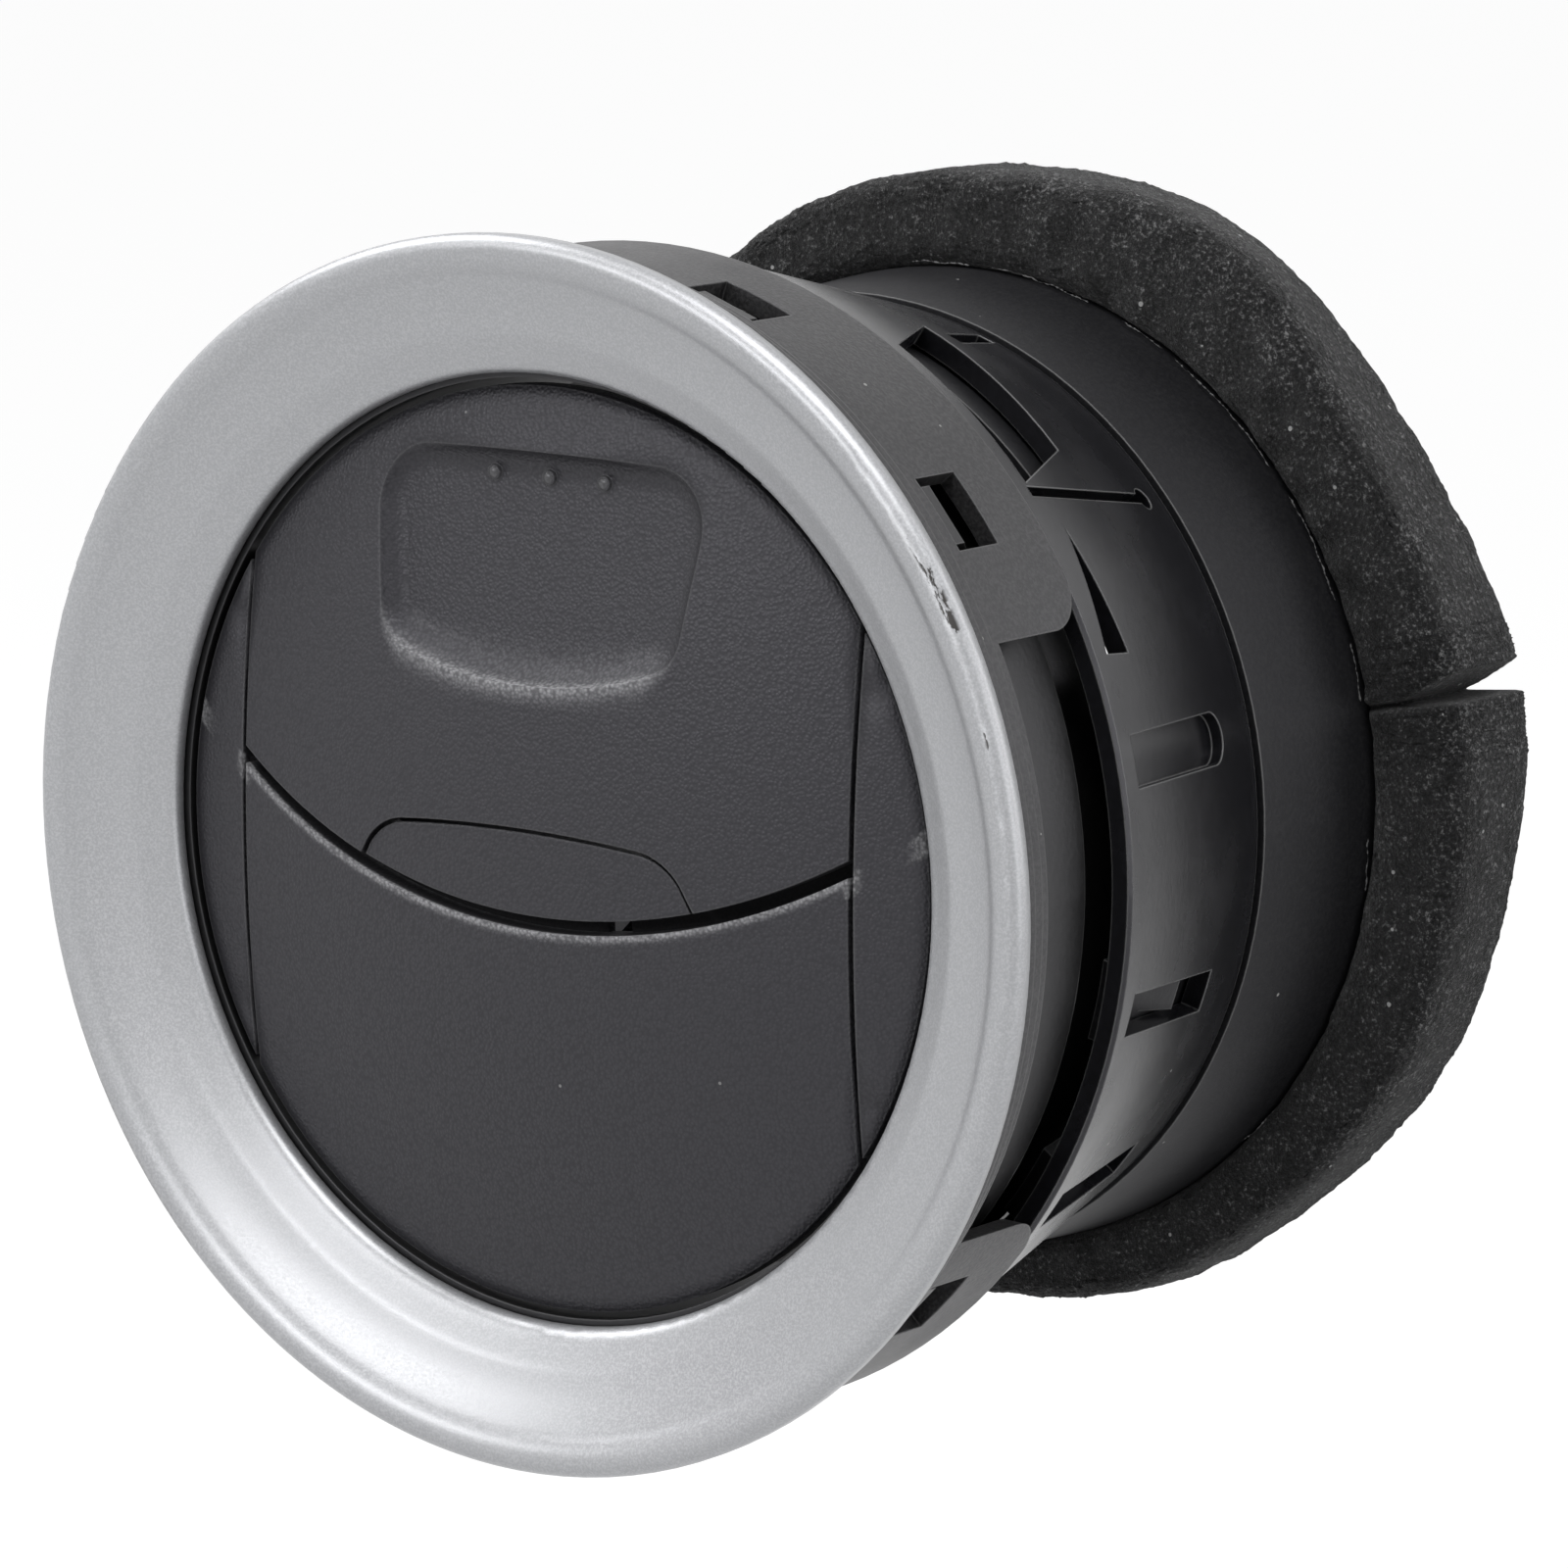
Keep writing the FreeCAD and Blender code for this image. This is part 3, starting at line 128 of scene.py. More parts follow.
def leather_group():
    """Leather grain: rounded cells parted by creases, broken up by finer noise."""
    group, entry, leave = new_group(
        "leather_grain",
        [("Vector", "NodeSocketVector", None), ("Cells per metre", "NodeSocketFloat", 1500.0)],
        [("Height", "NodeSocketFloat"), ("Crown", "NodeSocketFloat")],
    )
    wander = add_node(group, "ShaderNodeTexNoise", Scale=WANDER_SCALE, Detail=2.0)
    group.links.new(entry.outputs["Vector"], wander.inputs["Vector"])
    shift = add_node(group, "ShaderNodeVectorMath", operation="SCALE")
    shift.inputs["Scale"].default_value = WANDER_REACH
    group.links.new(wander.outputs["Color"], shift.inputs[0])
    moved = add_node(group, "ShaderNodeVectorMath", operation="ADD")
    group.links.new(entry.outputs["Vector"], moved.inputs[0])
    group.links.new(shift.outputs["Vector"], moved.inputs[1])
    cells = add_node(group, "ShaderNodeTexVoronoi", feature="SMOOTH_F1", Smoothness=0.45)
    group.links.new(moved.outputs["Vector"], cells.inputs["Vector"])
    group.links.new(entry.outputs["Cells per metre"], cells.inputs["Scale"])
    crown = ramp(group, cells.outputs["Distance"], 0.75, 0.15)
    fuzz = noise(group, entry.outputs["Vector"], 6000.0, 3.0)
    total = math_node(group, "ADD", crown, math_node(group, "MULTIPLY", fuzz, 0.5))
    group.links.new(total, leave.inputs["Height"])
    group.links.new(crown, leave.inputs["Crown"])
    return group


# The share of the dust's cells that hold no speck
EMPTY_CELLS = 0.72


def dust_group():
    """Dust: sparse pale specks and a faint cloudy film."""
    group, entry, leave = new_group(
        "dust",
        [
            ("Vector", "NodeSocketVector", None),
            ("Specks per metre", "NodeSocketFloat", 260.0),
            ("Speck size", "NodeSocketFloat", 0.05),
        ],
        [("Specks", "NodeSocketFloat"), ("Film", "NodeSocketFloat")],
    )
    spots = add_node(group, "ShaderNodeTexVoronoi", feature="F1")
    group.links.new(entry.outputs["Vector"], spots.inputs["Vector"])
    group.links.new(entry.outputs["Specks per metre"], spots.inputs["Scale"])
    size = entry.outputs["Speck size"]
    near = math_node(group, "LESS_THAN", spots.outputs["Distance"], size)
    split = add_node(group, "ShaderNodeSeparateColor")
    group.links.new(spots.outputs["Color"], split.inputs["Color"])
    rare = math_node(group, "GREATER_THAN", split.outputs["Red"], EMPTY_CELLS)
    specks = math_node(group, "MULTIPLY", near, rare)
    group.links.new(specks, leave.inputs["Specks"])
    cloud = noise(group, entry.outputs["Vector"], 70.0, 5.0, 0.6)
    group.links.new(ramp(group, cloud, 0.45, 0.75), leave.inputs["Film"])
    return group


# The cosine of the rounded normal's lean where an edge starts to show, and where it shows fully
EDGE_LEAN = (0.985, 0.86)


def edge_group():
    """Edges: a mask of sharp edges, from how far a rounded normal leans from the true one."""
    group, entry, leave = new_group(
        "sharp_edges", [("Radius", "NodeSocketFloat", 0.0003)], [("Mask", "NodeSocketFloat")]
    )
    soft = add_node(group, "ShaderNodeBevel", samples=6)
    group.links.new(entry.outputs["Radius"], soft.inputs["Radius"])
    true = group.nodes.new("ShaderNodeNewGeometry")
    lean = add_node(group, "ShaderNodeVectorMath", operation="DOT_PRODUCT")
    group.links.new(soft.outputs["Normal"], lean.inputs[0])
    group.links.new(true.outputs["Normal"], lean.inputs[1])
    group.links.new(ramp(group, lean.outputs["Value"], *EDGE_LEAN), leave.inputs["Mask"])
    return group


FINE_GRAIN = fine_grain_group()
LEATHER = leather_group()
DUST = dust_group()
EDGES = edge_group()


def start_material(name, base, roughness, **sockets):
    """A material with a Principled shader, object coordinates and plain socket values."""
    material = bpy.data.materials.new(name)
    material.use_nodes = True
    tree = material.node_tree
    shader = tree.nodes["Principled BSDF"]
    shader.inputs["Base Color"].default_value = (*base, 1.0)
    shader.inputs["Roughness"].default_value = roughness
    for label, value in sockets.items():
        shader.inputs[label.replace("_", " ")].default_value = value
    place = tree.nodes.new("ShaderNodeTexCoord").outputs["Object"]
    return material, tree, shader, place


def use_group(tree, group, vector, **values):
    """Places a shared group in a material; vector feeds it where it has such a socket."""
    node = tree.nodes.new("ShaderNodeGroup")
    node.node_tree = group
    if vector is not None:
        tree.links.new(vector, node.inputs["Vector"])
    for label, value in values.items():
        node.inputs[label.replace("_", " ")].default_value = value
    return node


def blend_colour(tree, factor, first, second):
    """Mixes two colours by a factor socket; each colour is a triple or a socket."""
    node = tree.nodes.new("ShaderNodeMix")
    node.data_type = "RGBA"
    tree.links.new(factor, node.inputs["Factor"])
    for label, colour in (("A", first), ("B", second)):
        socket = next(s for s in node.inputs if s.name == label and s.type == "RGBA")
        if isinstance(colour, tuple):
            socket.default_value = (*colour, 1.0)
        else:
            tree.links.new(colour, socket)
    return next(s for s in node.outputs if s.type == "RGBA")


def map_to(tree, value, low, high):
    """Maps a mask from 0..1 to low..high."""
    node = tree.nodes.new("ShaderNodeMapRange")
    node.inputs["To Min"].default_value = low
    node.inputs["To Max"].default_value = high
    tree.links.new(value, node.inputs["Value"])
    return node.outputs["Result"]


def bump(tree, shader, height, distance, strength=1.0, edge=0.0002):
    """Raises the surface by a height; edge, a number or a socket, rounds the edges under it."""
    node = tree.nodes.new("ShaderNodeBump")
    node.inputs["Strength"].default_value = strength
    node.inputs["Distance"].default_value = distance
    tree.links.new(height, node.inputs["Height"])
    tree.links.new(node.outputs["Normal"], shader.inputs["Normal"])
    soft = tree.nodes.new("ShaderNodeBevel")
    soft.samples = 10
    if isinstance(edge, float):
        soft.inputs["Radius"].default_value = edge
    else:
        tree.links.new(edge, soft.inputs["Radius"])
    tree.links.new(soft.outputs["Normal"], node.inputs["Normal"])


def window(tree, value, low, high, soft):
    """1 where a value lies between low and high, falling to 0 over a soft margin."""
    rise = ramp(tree, value, low - soft, low)
    return math_node(tree, "MULTIPLY", rise, ramp(tree, value, high + soft, high))


def split_place(tree, place):
    """The three coordinates of a place, as the outputs of one node."""
    parts = tree.nodes.new("ShaderNodeSeparateXYZ")
    tree.links.new(place, parts.inputs["Vector"])
    return parts.outputs


def axis_radius(tree, parts):
    """Distance from the vent's axis."""
    across = math_node(tree, "MULTIPLY", parts["X"], parts["X"])
    upward = math_node(tree, "MULTIPLY", parts["Z"], parts["Z"])
    return math_node(tree, "SQRT", math_node(tree, "ADD", across, upward), 0.0)


def distance(tree, vector, centre):
    """How far a vector is from a fixed centre."""
    node = add_node(tree, "ShaderNodeVectorMath", operation="DISTANCE")
    tree.links.new(vector, node.inputs[0])
    node.inputs[1].default_value = centre
    return node.outputs["Value"]


# Where the ring's paint is chipped: the bead's crest, and the worst and the lighter stretch of it
# as two angles and a soft margin
CREST = (0.04765, 0.04815, 0.0002)
WORST_WEAR = tuple(math.radians(angle) for angle in (28, 35, 4))
LIGHT_WEAR = tuple(math.radians(angle) for angle in (12, 22, 3))
# The blots are drawn on an unrolled rim; a radius below the true one makes them long
UNROLL_RADIUS = 0.016


def worn_rim(tree, place):
    """Chips in the paint along the bead: long blots inside a band of radius and angle."""
    parts = split_place(tree, place)
    radius = axis_radius(tree, parts)
    angle = math_node(tree, "ARCTAN2", parts["Z"], parts["X"])
    rim = window(tree, radius, *CREST)
    worst = window(tree, angle, *WORST_WEAR)
    light = window(tree, angle, *LIGHT_WEAR)
    near = math_node(tree, "MAXIMUM", worst, math_node(tree, "MULTIPLY", light, 0.35))
    unrolled = tree.nodes.new("ShaderNodeCombineXYZ")
    tree.links.new(math_node(tree, "MULTIPLY", angle, UNROLL_RADIUS), unrolled.inputs["X"])
    tree.links.new(radius, unrolled.inputs["Y"])
    blots = noise(tree, unrolled.outputs["Vector"], 900.0, 4.0, 0.65)
    level = math_node(tree, "ADD", blots, math_node(tree, "MULTIPLY", near, 0.2))
    chips = ramp(tree, level, 0.7, 0.74)
    inside = math_node(tree, "MULTIPLY", rim, math_node(tree, "GREATER_THAN", near, 0.02))
    return math_node(tree, "MULTIPLY", chips, inside)


def silver_paint():
    """Satin silver paint: metal flakes under a thin clear coat, chipped along the rim."""
    material, tree, shader, place = start_material(
        "silver_paint",
        (0.41, 0.415, 0.43),
        0.36,
        Metallic=0.5,
        Coat_Weight=0.12,
        Coat_Roughness=0.35,
    )
    flakes = use_group(tree, FINE_GRAIN, place, Grains_per_metre=5200.0, Detail=2.0)
    chips = worn_rim(tree, place)
    dull = (0.375, 0.38, 0.395)
    bright = (0.46, 0.465, 0.48)
    bare_plastic = (0.02, 0.017, 0.015)
    colour = blend_colour(tree, flakes.outputs["Raised"], dull, bright)
    colour = blend_colour(tree, chips, colour, bare_plastic)
    tree.links.new(colour, shader.inputs["Base Color"])
    tree.links.new(map_to(tree, chips, 0.5, 0.0), shader.inputs["Metallic"])
    tree.links.new(map_to(tree, flakes.outputs["Raised"], 0.3, 0.42), shader.inputs["Roughness"])
    height = math_node(tree, "SUBTRACT", flakes.outputs["Height"], chips)
    bump(tree, shader, height, 0.000008, 0.5, edge=0.0011)
    return material


def moulded(name, dark, pale, roughness, grains, depth, specks=0.04, specular=0.5, edge=0.1):
    """Moulded plastic: fine grain in colour, gloss and height, sharp edges lightened as a painted
    highlight, a little dust.
    """
    material, tree, shader, place = start_material(
        name, dark, roughness, Specular_IOR_Level=specular, Specular_Tint=(0.95, 0.94, 1.0, 1.0)
    )
    grain = use_group(tree, FINE_GRAIN, place, Grains_per_metre=grains)
    dust = use_group(tree, DUST, place, Speck_size=specks)
    sharp = use_group(tree, EDGES, None, Radius=0.00025)
    colour = blend_colour(tree, grain.outputs["Raised"], dark, pale)
    colour = blend_colour(tree, dust.outputs["Specks"], colour, (0.3, 0.3, 0.29))
    # The edge colour lightens sharp edges: a painted highlight.
    colour = blend_colour(tree, sharp.outputs["Mask"], colour, (edge, edge, edge))
    tree.links.new(colour, shader.inputs["Base Color"])
    gloss = map_to(tree, dust.outputs["Film"], roughness - 0.04, roughness + 0.06)
    tree.links.new(gloss, shader.inputs["Roughness"])
    bump(tree, shader, grain.outputs["Height"], depth)
    return material


# The zones of the face. Its rim, as two radii; the recess's ledge, as two heights and two sides
RIM_BAND = (0.0338, 0.04)
LEDGE_HEIGHTS = (0.0122, 0.0178)
LEDGE_SIDES = (-0.0125, 0.0115)
# The smile line is an arc round this centre, seen from the front: the rolled edge below it, and
# the gap above it, as distances from the centre
SMILE_CENTRE = (0.002, 0.0, 0.05315)
ROLL_BAND = (0.0584, 0.0598)
GAP_BAND = (0.056, 0.05855)
# The dome's centre, and the distances from it where the gap's shade starts and where it is full
DOME_CENTRE = (0.0, 0.1482, 0.0)
SHADE_START = 0.1496
SHADE_FULL = 0.1494


def face_zones(tree, place):
    """Masks on the face: its rim, the recess's ledge, the edge under the smile line and its gap."""
    parts = split_place(tree, place)
    rim = window(tree, axis_radius(tree, parts), *RIM_BAND, 0.002)
    height = window(tree, parts["Z"], *LEDGE_HEIGHTS, 0.0012)
    middle = window(tree, parts["X"], *LEDGE_SIDES, 0.003)
    ledge = math_node(tree, "MULTIPLY", height, middle)
    flat = tree.nodes.new("ShaderNodeCombineXYZ")
    tree.links.new(parts["X"], flat.inputs["X"])
    tree.links.new(parts["Z"], flat.inputs["Z"])
    from_smile = distance(tree, flat.outputs["Vector"], SMILE_CENTRE)
    roll = window(tree, from_smile, *ROLL_BAND, 0.0003)
    band = window(tree, from_smile, *GAP_BAND, 0.0001)
    deep = ramp(tree, distance(tree, place, DOME_CENTRE), SHADE_START, SHADE_FULL)
    gap = math_node(tree, "MULTIPLY", band, deep)
    return rim, ledge, roll, gap


# Colours laid over the grain of the face: dust specks, a painted highlight on sharp edges, painted
# glints on the ledge and the rolled edge, and painted shade in the gap
PALE_SPECK = (0.2, 0.2, 0.2)
PAINTED_EDGE_HIGHLIGHT = (0.075, 0.075, 0.078)
PAINTED_GLINT = (0.36, 0.36, 0.368)
DEEP_SHADE = (0.0015, 0.0015, 0.0015)


def leather_plastic():
    """Grained face plastic: leather cells whose crowns are slightly paler and glossier. The
    ledge and the rolled edge are rounded more than the rest, and pale glints are painted on them
    as a painted highlight. Other sharp edges get a painted highlight, and the gap painted shade."""
    dark = (0.0075, 0.0073, 0.009)
    pale = (0.0175, 0.017, 0.02)
    material, tree, shader, place = start_material(
        "leather_plastic",
        dark,
        0.45,
        Specular_IOR_Level=0.5,
        Specular_Tint=(0.94, 0.93, 1.0, 1.0),
    )
    rim, ledge, roll, gap = face_zones(tree, place)
    radius = math_node(tree, "MULTIPLY", rim, 0.002)
    for mask, reach in ((ledge, 0.0027), (roll, 0.0009)):
        radius = math_node(tree, "ADD", radius, math_node(tree, "MULTIPLY", mask, reach))
    radius = math_node(tree, "ADD", radius, 0.0004)
    leather = use_group(tree, LEATHER, place, Cells_per_metre=3500.0)
    dust = use_group(tree, DUST, place, Speck_size=0.035)
    sharp = use_group(tree, EDGES, None, Radius=0.00035)
    rolled = use_group(tree, EDGES, None)
    tree.links.new(radius, rolled.inputs["Radius"])
    colour = blend_colour(tree, leather.outputs["Crown"], dark, pale)
    colour = blend_colour(tree, dust.outputs["Specks"], colour, PALE_SPECK)
    zones = math_node(tree, "MAXIMUM", ledge, roll)
    plain = math_node(tree, "SUBTRACT", 1.0, zones)
    edges = math_node(tree, "MULTIPLY", sharp.outputs["Mask"], plain)
    # Sharp edges away from the ledge and the rolled edge are lightened in colour: a painted
    # highlight.
    colour = blend_colour(tree, edges, colour, PAINTED_EDGE_HIGHLIGHT)
    # Pale speckled glints on the ledge and the rolled edge: a painted highlight.
    lit = math_node(tree, "MULTIPLY", rolled.outputs["Mask"], zones)
    speckle = map_to(tree, leather.outputs["Crown"], 0.25, 1.0)
    painted_glints = math_node(tree, "MULTIPLY", speckle, lit)
    colour = blend_colour(tree, painted_glints, colour, PAINTED_GLINT)
    colour = blend_colour(tree, gap, colour, DEEP_SHADE)
    tree.links.new(colour, shader.inputs["Base Color"])
    gloss = map_to(tree, leather.outputs["Crown"], 0.55, 0.38)
    tree.links.new(math_node(tree, "MAXIMUM", gloss, gap), shader.inputs["Roughness"])
    bump(tree, shader, leather.outputs["Height"], 0.00004, 0.8, edge=radius)
    return material


# The radii between which the foam gets paler towards its rim: partly a painted sheen of its fuzzy
# edge, partly a paler cut skin
RIM_SHEEN_AND_SKIN_RADII = (0.0455, 0.0495)


def foam_skin():
    """Open-cell foam: charcoal speckle with dark pores and pale flecks of cut cell edges, paler
    towards the rim as a painted sheen and a paler cut skin.
    """
    material, tree, shader, place = start_material(
        "foam_skin",
        (0.02, 0.02, 0.02),
        0.9,
        Specular_IOR_Level=0.2,
        Sheen_Weight=0.2,
        Sheen_Roughness=0.3,
    )
    fine = noise(tree, place, 2700.0, 4.0, 0.78)
    patch = noise(tree, place, 300.0, 4.0, 0.6)
    cloud = math_node(tree, "MULTIPLY", math_node(tree, "SUBTRACT", patch, 0.5), 0.18)
    level = math_node(tree, "ADD", fine, cloud)
    # Paler towards the outer rim: partly painted sheen of the fuzzy edge, partly a paler cut skin.
    rim_sheen_and_skin = ramp(tree, axis_radius(tree, split_place(tree, place)), *RIM_SHEEN_AND_SKIN_RADII)
    level = math_node(tree, "ADD", level, math_node(tree, "MULTIPLY", rim_sheen_and_skin, 0.035))
    speckle = ramp(tree, level, 0.38, 0.6)
    fleck = ramp(tree, level, 0.58, 0.72)
    colour = blend_colour(tree, speckle, (0.004, 0.004, 0.004), (0.03, 0.03, 0.031))
    colour = blend_colour(tree, fleck, colour, (0.25, 0.25, 0.25))
    dust = use_group(tree, DUST, place, Speck_size=0.1, Specks_per_metre=480.0)
    colour = blend_colour(tree, dust.outputs["Specks"], colour, (0.42, 0.42, 0.42))
    tree.links.new(colour, shader.inputs["Base Color"])
    bump(tree, shader, fine, 0.00035, 0.9, edge=0.0005)
    return material


SILVER = silver_paint()
FACE = leather_plastic()
# In each moulded finish, edge is the grey of the painted highlight on its sharp edges.
COLLAR = moulded(
    "collar_plastic",
    (0.016, 0.0156, 0.016),
    (0.043, 0.0425, 0.043),
    roughness=0.46,
    grains=3000.0,
    depth=0.00005,
)
SLEEVE = moulded(
    "sleeve_plastic",
    (0.01, 0.01, 0.01),
    (0.016, 0.016, 0.016),
    roughness=0.38,
    grains=2200.0,
    depth=0.00002,
)
HOUSING = moulded(
    "housing_plastic",
    (0.006, 0.006, 0.007),
    (0.0095, 0.0095, 0.0115),
    roughness=0.28,
    grains=1500.0,
    depth=0.00001,
    specular=0.45,
    edge=0.2,
)
SPIGOT = moulded(
    "spigot_plastic",
    (0.008, 0.008, 0.009),
    (0.014, 0.014, 0.015),
    roughness=0.5,
    grains=2600.0,
    depth=0.00003,
    specular=0.24,
    edge=0.2,
)
BARREL = moulded(
    "barrel_plastic",
    (0.004, 0.004, 0.004),
    (0.007, 0.007, 0.007),
    roughness=0.5,
    grains=2400.0,
    depth=0.00002,
    edge=0.03,
)
FELT = moulded(
    "felt_grey",
    (0.07, 0.07, 0.07),
    (0.16, 0.16, 0.16),
    roughness=0.9,
    grains=4000.0,
    depth=0.0001,
    specular=0.2,
)
# The pips are of the face's plastic, made paler here as a painted highlight on them.
PIP_PAINTED_HIGHLIGHT = moulded(
    "pip_painted_highlight",
    (0.06, 0.06, 0.062),
    (0.1, 0.1, 0.103),
    roughness=0.3,
    grains=3000.0,
    depth=0.000005,
)
ACETAL = moulded(
    "black_acetal",
    (0.012, 0.012, 0.012),
    (0.02, 0.02, 0.02),
    roughness=0.4,
    grains=1800.0,
    depth=0.00001,
)
GLUE = moulded(
    "dried_glue",
    (0.03, 0.03, 0.03),
    (0.13, 0.13, 0.126),
    roughness=0.5,
    grains=3000.0,
    depth=0.00002,
)
FOAM = foam_skin()

FINISHES = {
    "trim_ring": SILVER,
    "clip_collar": COLLAR,
    "inner_sleeve": SLEEVE,
    "front_felt": FELT,
    "rear_felt": FELT,
    "rear_housing": HOUSING,
    "duct_spigot": SPIGOT,
    "barrel": BARREL,
    "barrel_retainer": ACETAL,
    "right_cheek": FACE,
    "left_cheek": FACE,
    "upper_right_bush": ACETAL,
    "lower_right_bush": ACETAL,
    "upper_left_bush": ACETAL,
    "lower_left_bush": ACETAL,
    "centre_tab": FACE,
    "upper_flap": FACE,
    "lower_flap": FACE,
    "flap_link": BARREL,
}
for name, material in FINISHES.items():
    for slot in nodes[name].material_slots:
        slot.material = material


# Foam seal: a strip wound round the tube


FOAM_FRONT = 0.0562
FOAM_BACK = 0.0667
FOAM_BORE = 0.04075
FOAM_OUTSIDE = 0.0486
# The joint of the strip's ends: its angle, how deep the V is, and how wide on either side
JOINT_ANGLE = math.radians(11.6)
JOINT_RADIUS = 0.049
JOINT_DEPTH = 0.0054
MOUTH_ABOVE = 0.002
MOUTH_BELOW = 0.0006
# The line where the ends meet is drawn in on both faces of the strip
CREASE_WIDTH = 0.0004
CREASE_DEPTH = 0.0011
# Each swell of the strip's outline: angle, width in degrees, height in metres
OUTLINE_SWELLS = (
    (66.0, 18.0, 0.0014),
    (10.0, 16.0, 0.0022),
    (-22.0, 14.0, 0.0006),
    (-52.0, 22.0, -0.0016),
    (-95.0, 20.0, -0.0018),
    (126.0, 16.0, -0.0018),
    (-160.0, 20.0, 0.001),
)
# Swells of the front corner alone
FRONT_SWELLS = ((57.0, 14.0, 0.0024), (-85.0, 20.0, -0.0016), (10.0, 10.0, -0.001))


def surface(name, points, closed_u, closed_v, material):
    """A mesh from a grid of points (u, v, xyz), joined end to end where a direction is closed.
    Its faces look outwards: their order is turned where the volume they hold is negative."""
    rows, columns = points.shape[:2]
    numbers = np.arange(rows * columns).reshape(rows, columns)
    if closed_u:
        numbers = np.vstack([numbers, numbers[:1]])
    if closed_v:
        numbers = np.hstack([numbers, numbers[:, :1]])
    quads = np.stack(
        [numbers[:-1, :-1], numbers[1:, :-1], numbers[1:, 1:], numbers[:-1, 1:]], axis=-1
    ).reshape(-1, 4)
    flat = points.reshape(-1, 3)
    first, second, third, fourth = (flat[quads[:, place]] for place in range(4))
    volume = np.sum(first * np.cross(second, third)) + np.sum(first * np.cross(third, fourth))
    if volume < 0:
        quads = quads[:, ::-1]
    mesh = bpy.data.meshes.new(name)
    mesh.from_pydata(flat.tolist(), [], quads.tolist())
    mesh.polygons.foreach_set("use_smooth", np.ones(len(quads), dtype=bool))
    mesh.materials.append(material)
    piece = bpy.data.objects.new(name, mesh)
    bpy.context.scene.collection.objects.link(piece)
    return piece


def ripple(angle, along, seed, waves=14):
    """A smooth random field round the ring: a sum of sine waves with seeded directions."""
    rng = np.random.default_rng(seed)
    total = np.zeros_like(angle)
    for _ in range(waves):
        turns = rng.integers(14, 70)
        slope = rng.uniform(-300, 300)
        total += np.sin(angle * turns + along * slope + rng.uniform(0, 2 * np.pi)) / waves**0.5
    return total


def swell(angle, swells):
    """A sum of bell curves over the angle round the axis."""
    total = np.zeros_like(angle)
    for centre, width, height in swells:
        away = np.degrees(np.angle(np.exp(1j * (angle - np.radians(centre)))))
        total += height * np.exp(-((away / width) ** 2))
    return total


def foam_strip():
    """The foam ring. A rounded rectangle, the superellipse |x|^5 + |y|^5 = 1, is carried once
    round the axis; its outer side follows a circle plus the swells, and a V is cut at the
    joint. Ripples and fine noise make it uneven."""
    whole = np.linspace(0, 2 * np.pi, 470, endpoint=False)
    close = JOINT_ANGLE + np.linspace(-0.11, 0.11, 90)  # more steps near the joint
    u = np.sort(np.concatenate([whole[np.abs(whole - JOINT_ANGLE) > 0.112], close]))
    v = np.linspace(0, 2 * np.pi, 150, endpoint=False)
    bend = 2 / 5
    out = 0.5 + 0.5 * np.sign(np.cos(v)) * np.abs(np.cos(v)) ** bend
    deep = 0.5 + 0.5 * np.sign(np.sin(v)) * np.abs(np.sin(v)) ** bend
    angle = u[:, None] + 0 * v[None, :]
    out = out[None, :] + 0 * angle
    deep = deep[None, :] + 0 * angle
    reach = FOAM_OUTSIDE + swell(angle, OUTLINE_SWELLS) + swell(angle, FRONT_SWELLS) * (1 - deep)
    from_joint = np.angle(np.exp(1j * (angle - JOINT_ANGLE))) * JOINT_RADIUS
    mouth = np.where(from_joint > 0, MOUTH_ABOVE, MOUTH_BELOW)
    reach -= JOINT_DEPTH * np.clip(1 - np.abs(from_joint) / mouth, 0, 1)
    crease = np.exp(-((from_joint / CREASE_WIDTH) ** 2))
    radius = FOAM_BORE + (reach - FOAM_BORE) * out
    along = FOAM_FRONT + (FOAM_BACK - FOAM_FRONT) * deep
    along += CREASE_DEPTH * crease * (1 - 2 * deep)
    rng = np.random.default_rng(5)
    rough = ripple(angle, along, 3) * 0.00006 + rng.normal(0, 0.00006, radius.shape)
    radius += rough * (out > 0.1)  # the side on the tube stays smooth
    along += ripple(angle, radius * 4, 9) * 0.0001 + rng.normal(0, 0.00005, radius.shape)
    points = np.stack([radius * np.cos(angle), along, radius * np.sin(angle)], axis=-1)
    return surface("foam_strip", points, True, True, FOAM)


# The glue lies in the corner of the foam's front face and the tube
GLUE_RADIUS = 0.0413
GLUE_ALONG = 0.05615
THREAD_THIN = 0.00001
# Where each thread starts and ends, in degrees
GLUE_SPANS = (
    (96, 88),
    (85, 71),
    (66, 60),
    (58, 41),
    (37, 24),
    (19, 12.5),
    (-3, -9),
    (-38, -44),
    (146, 133),
)


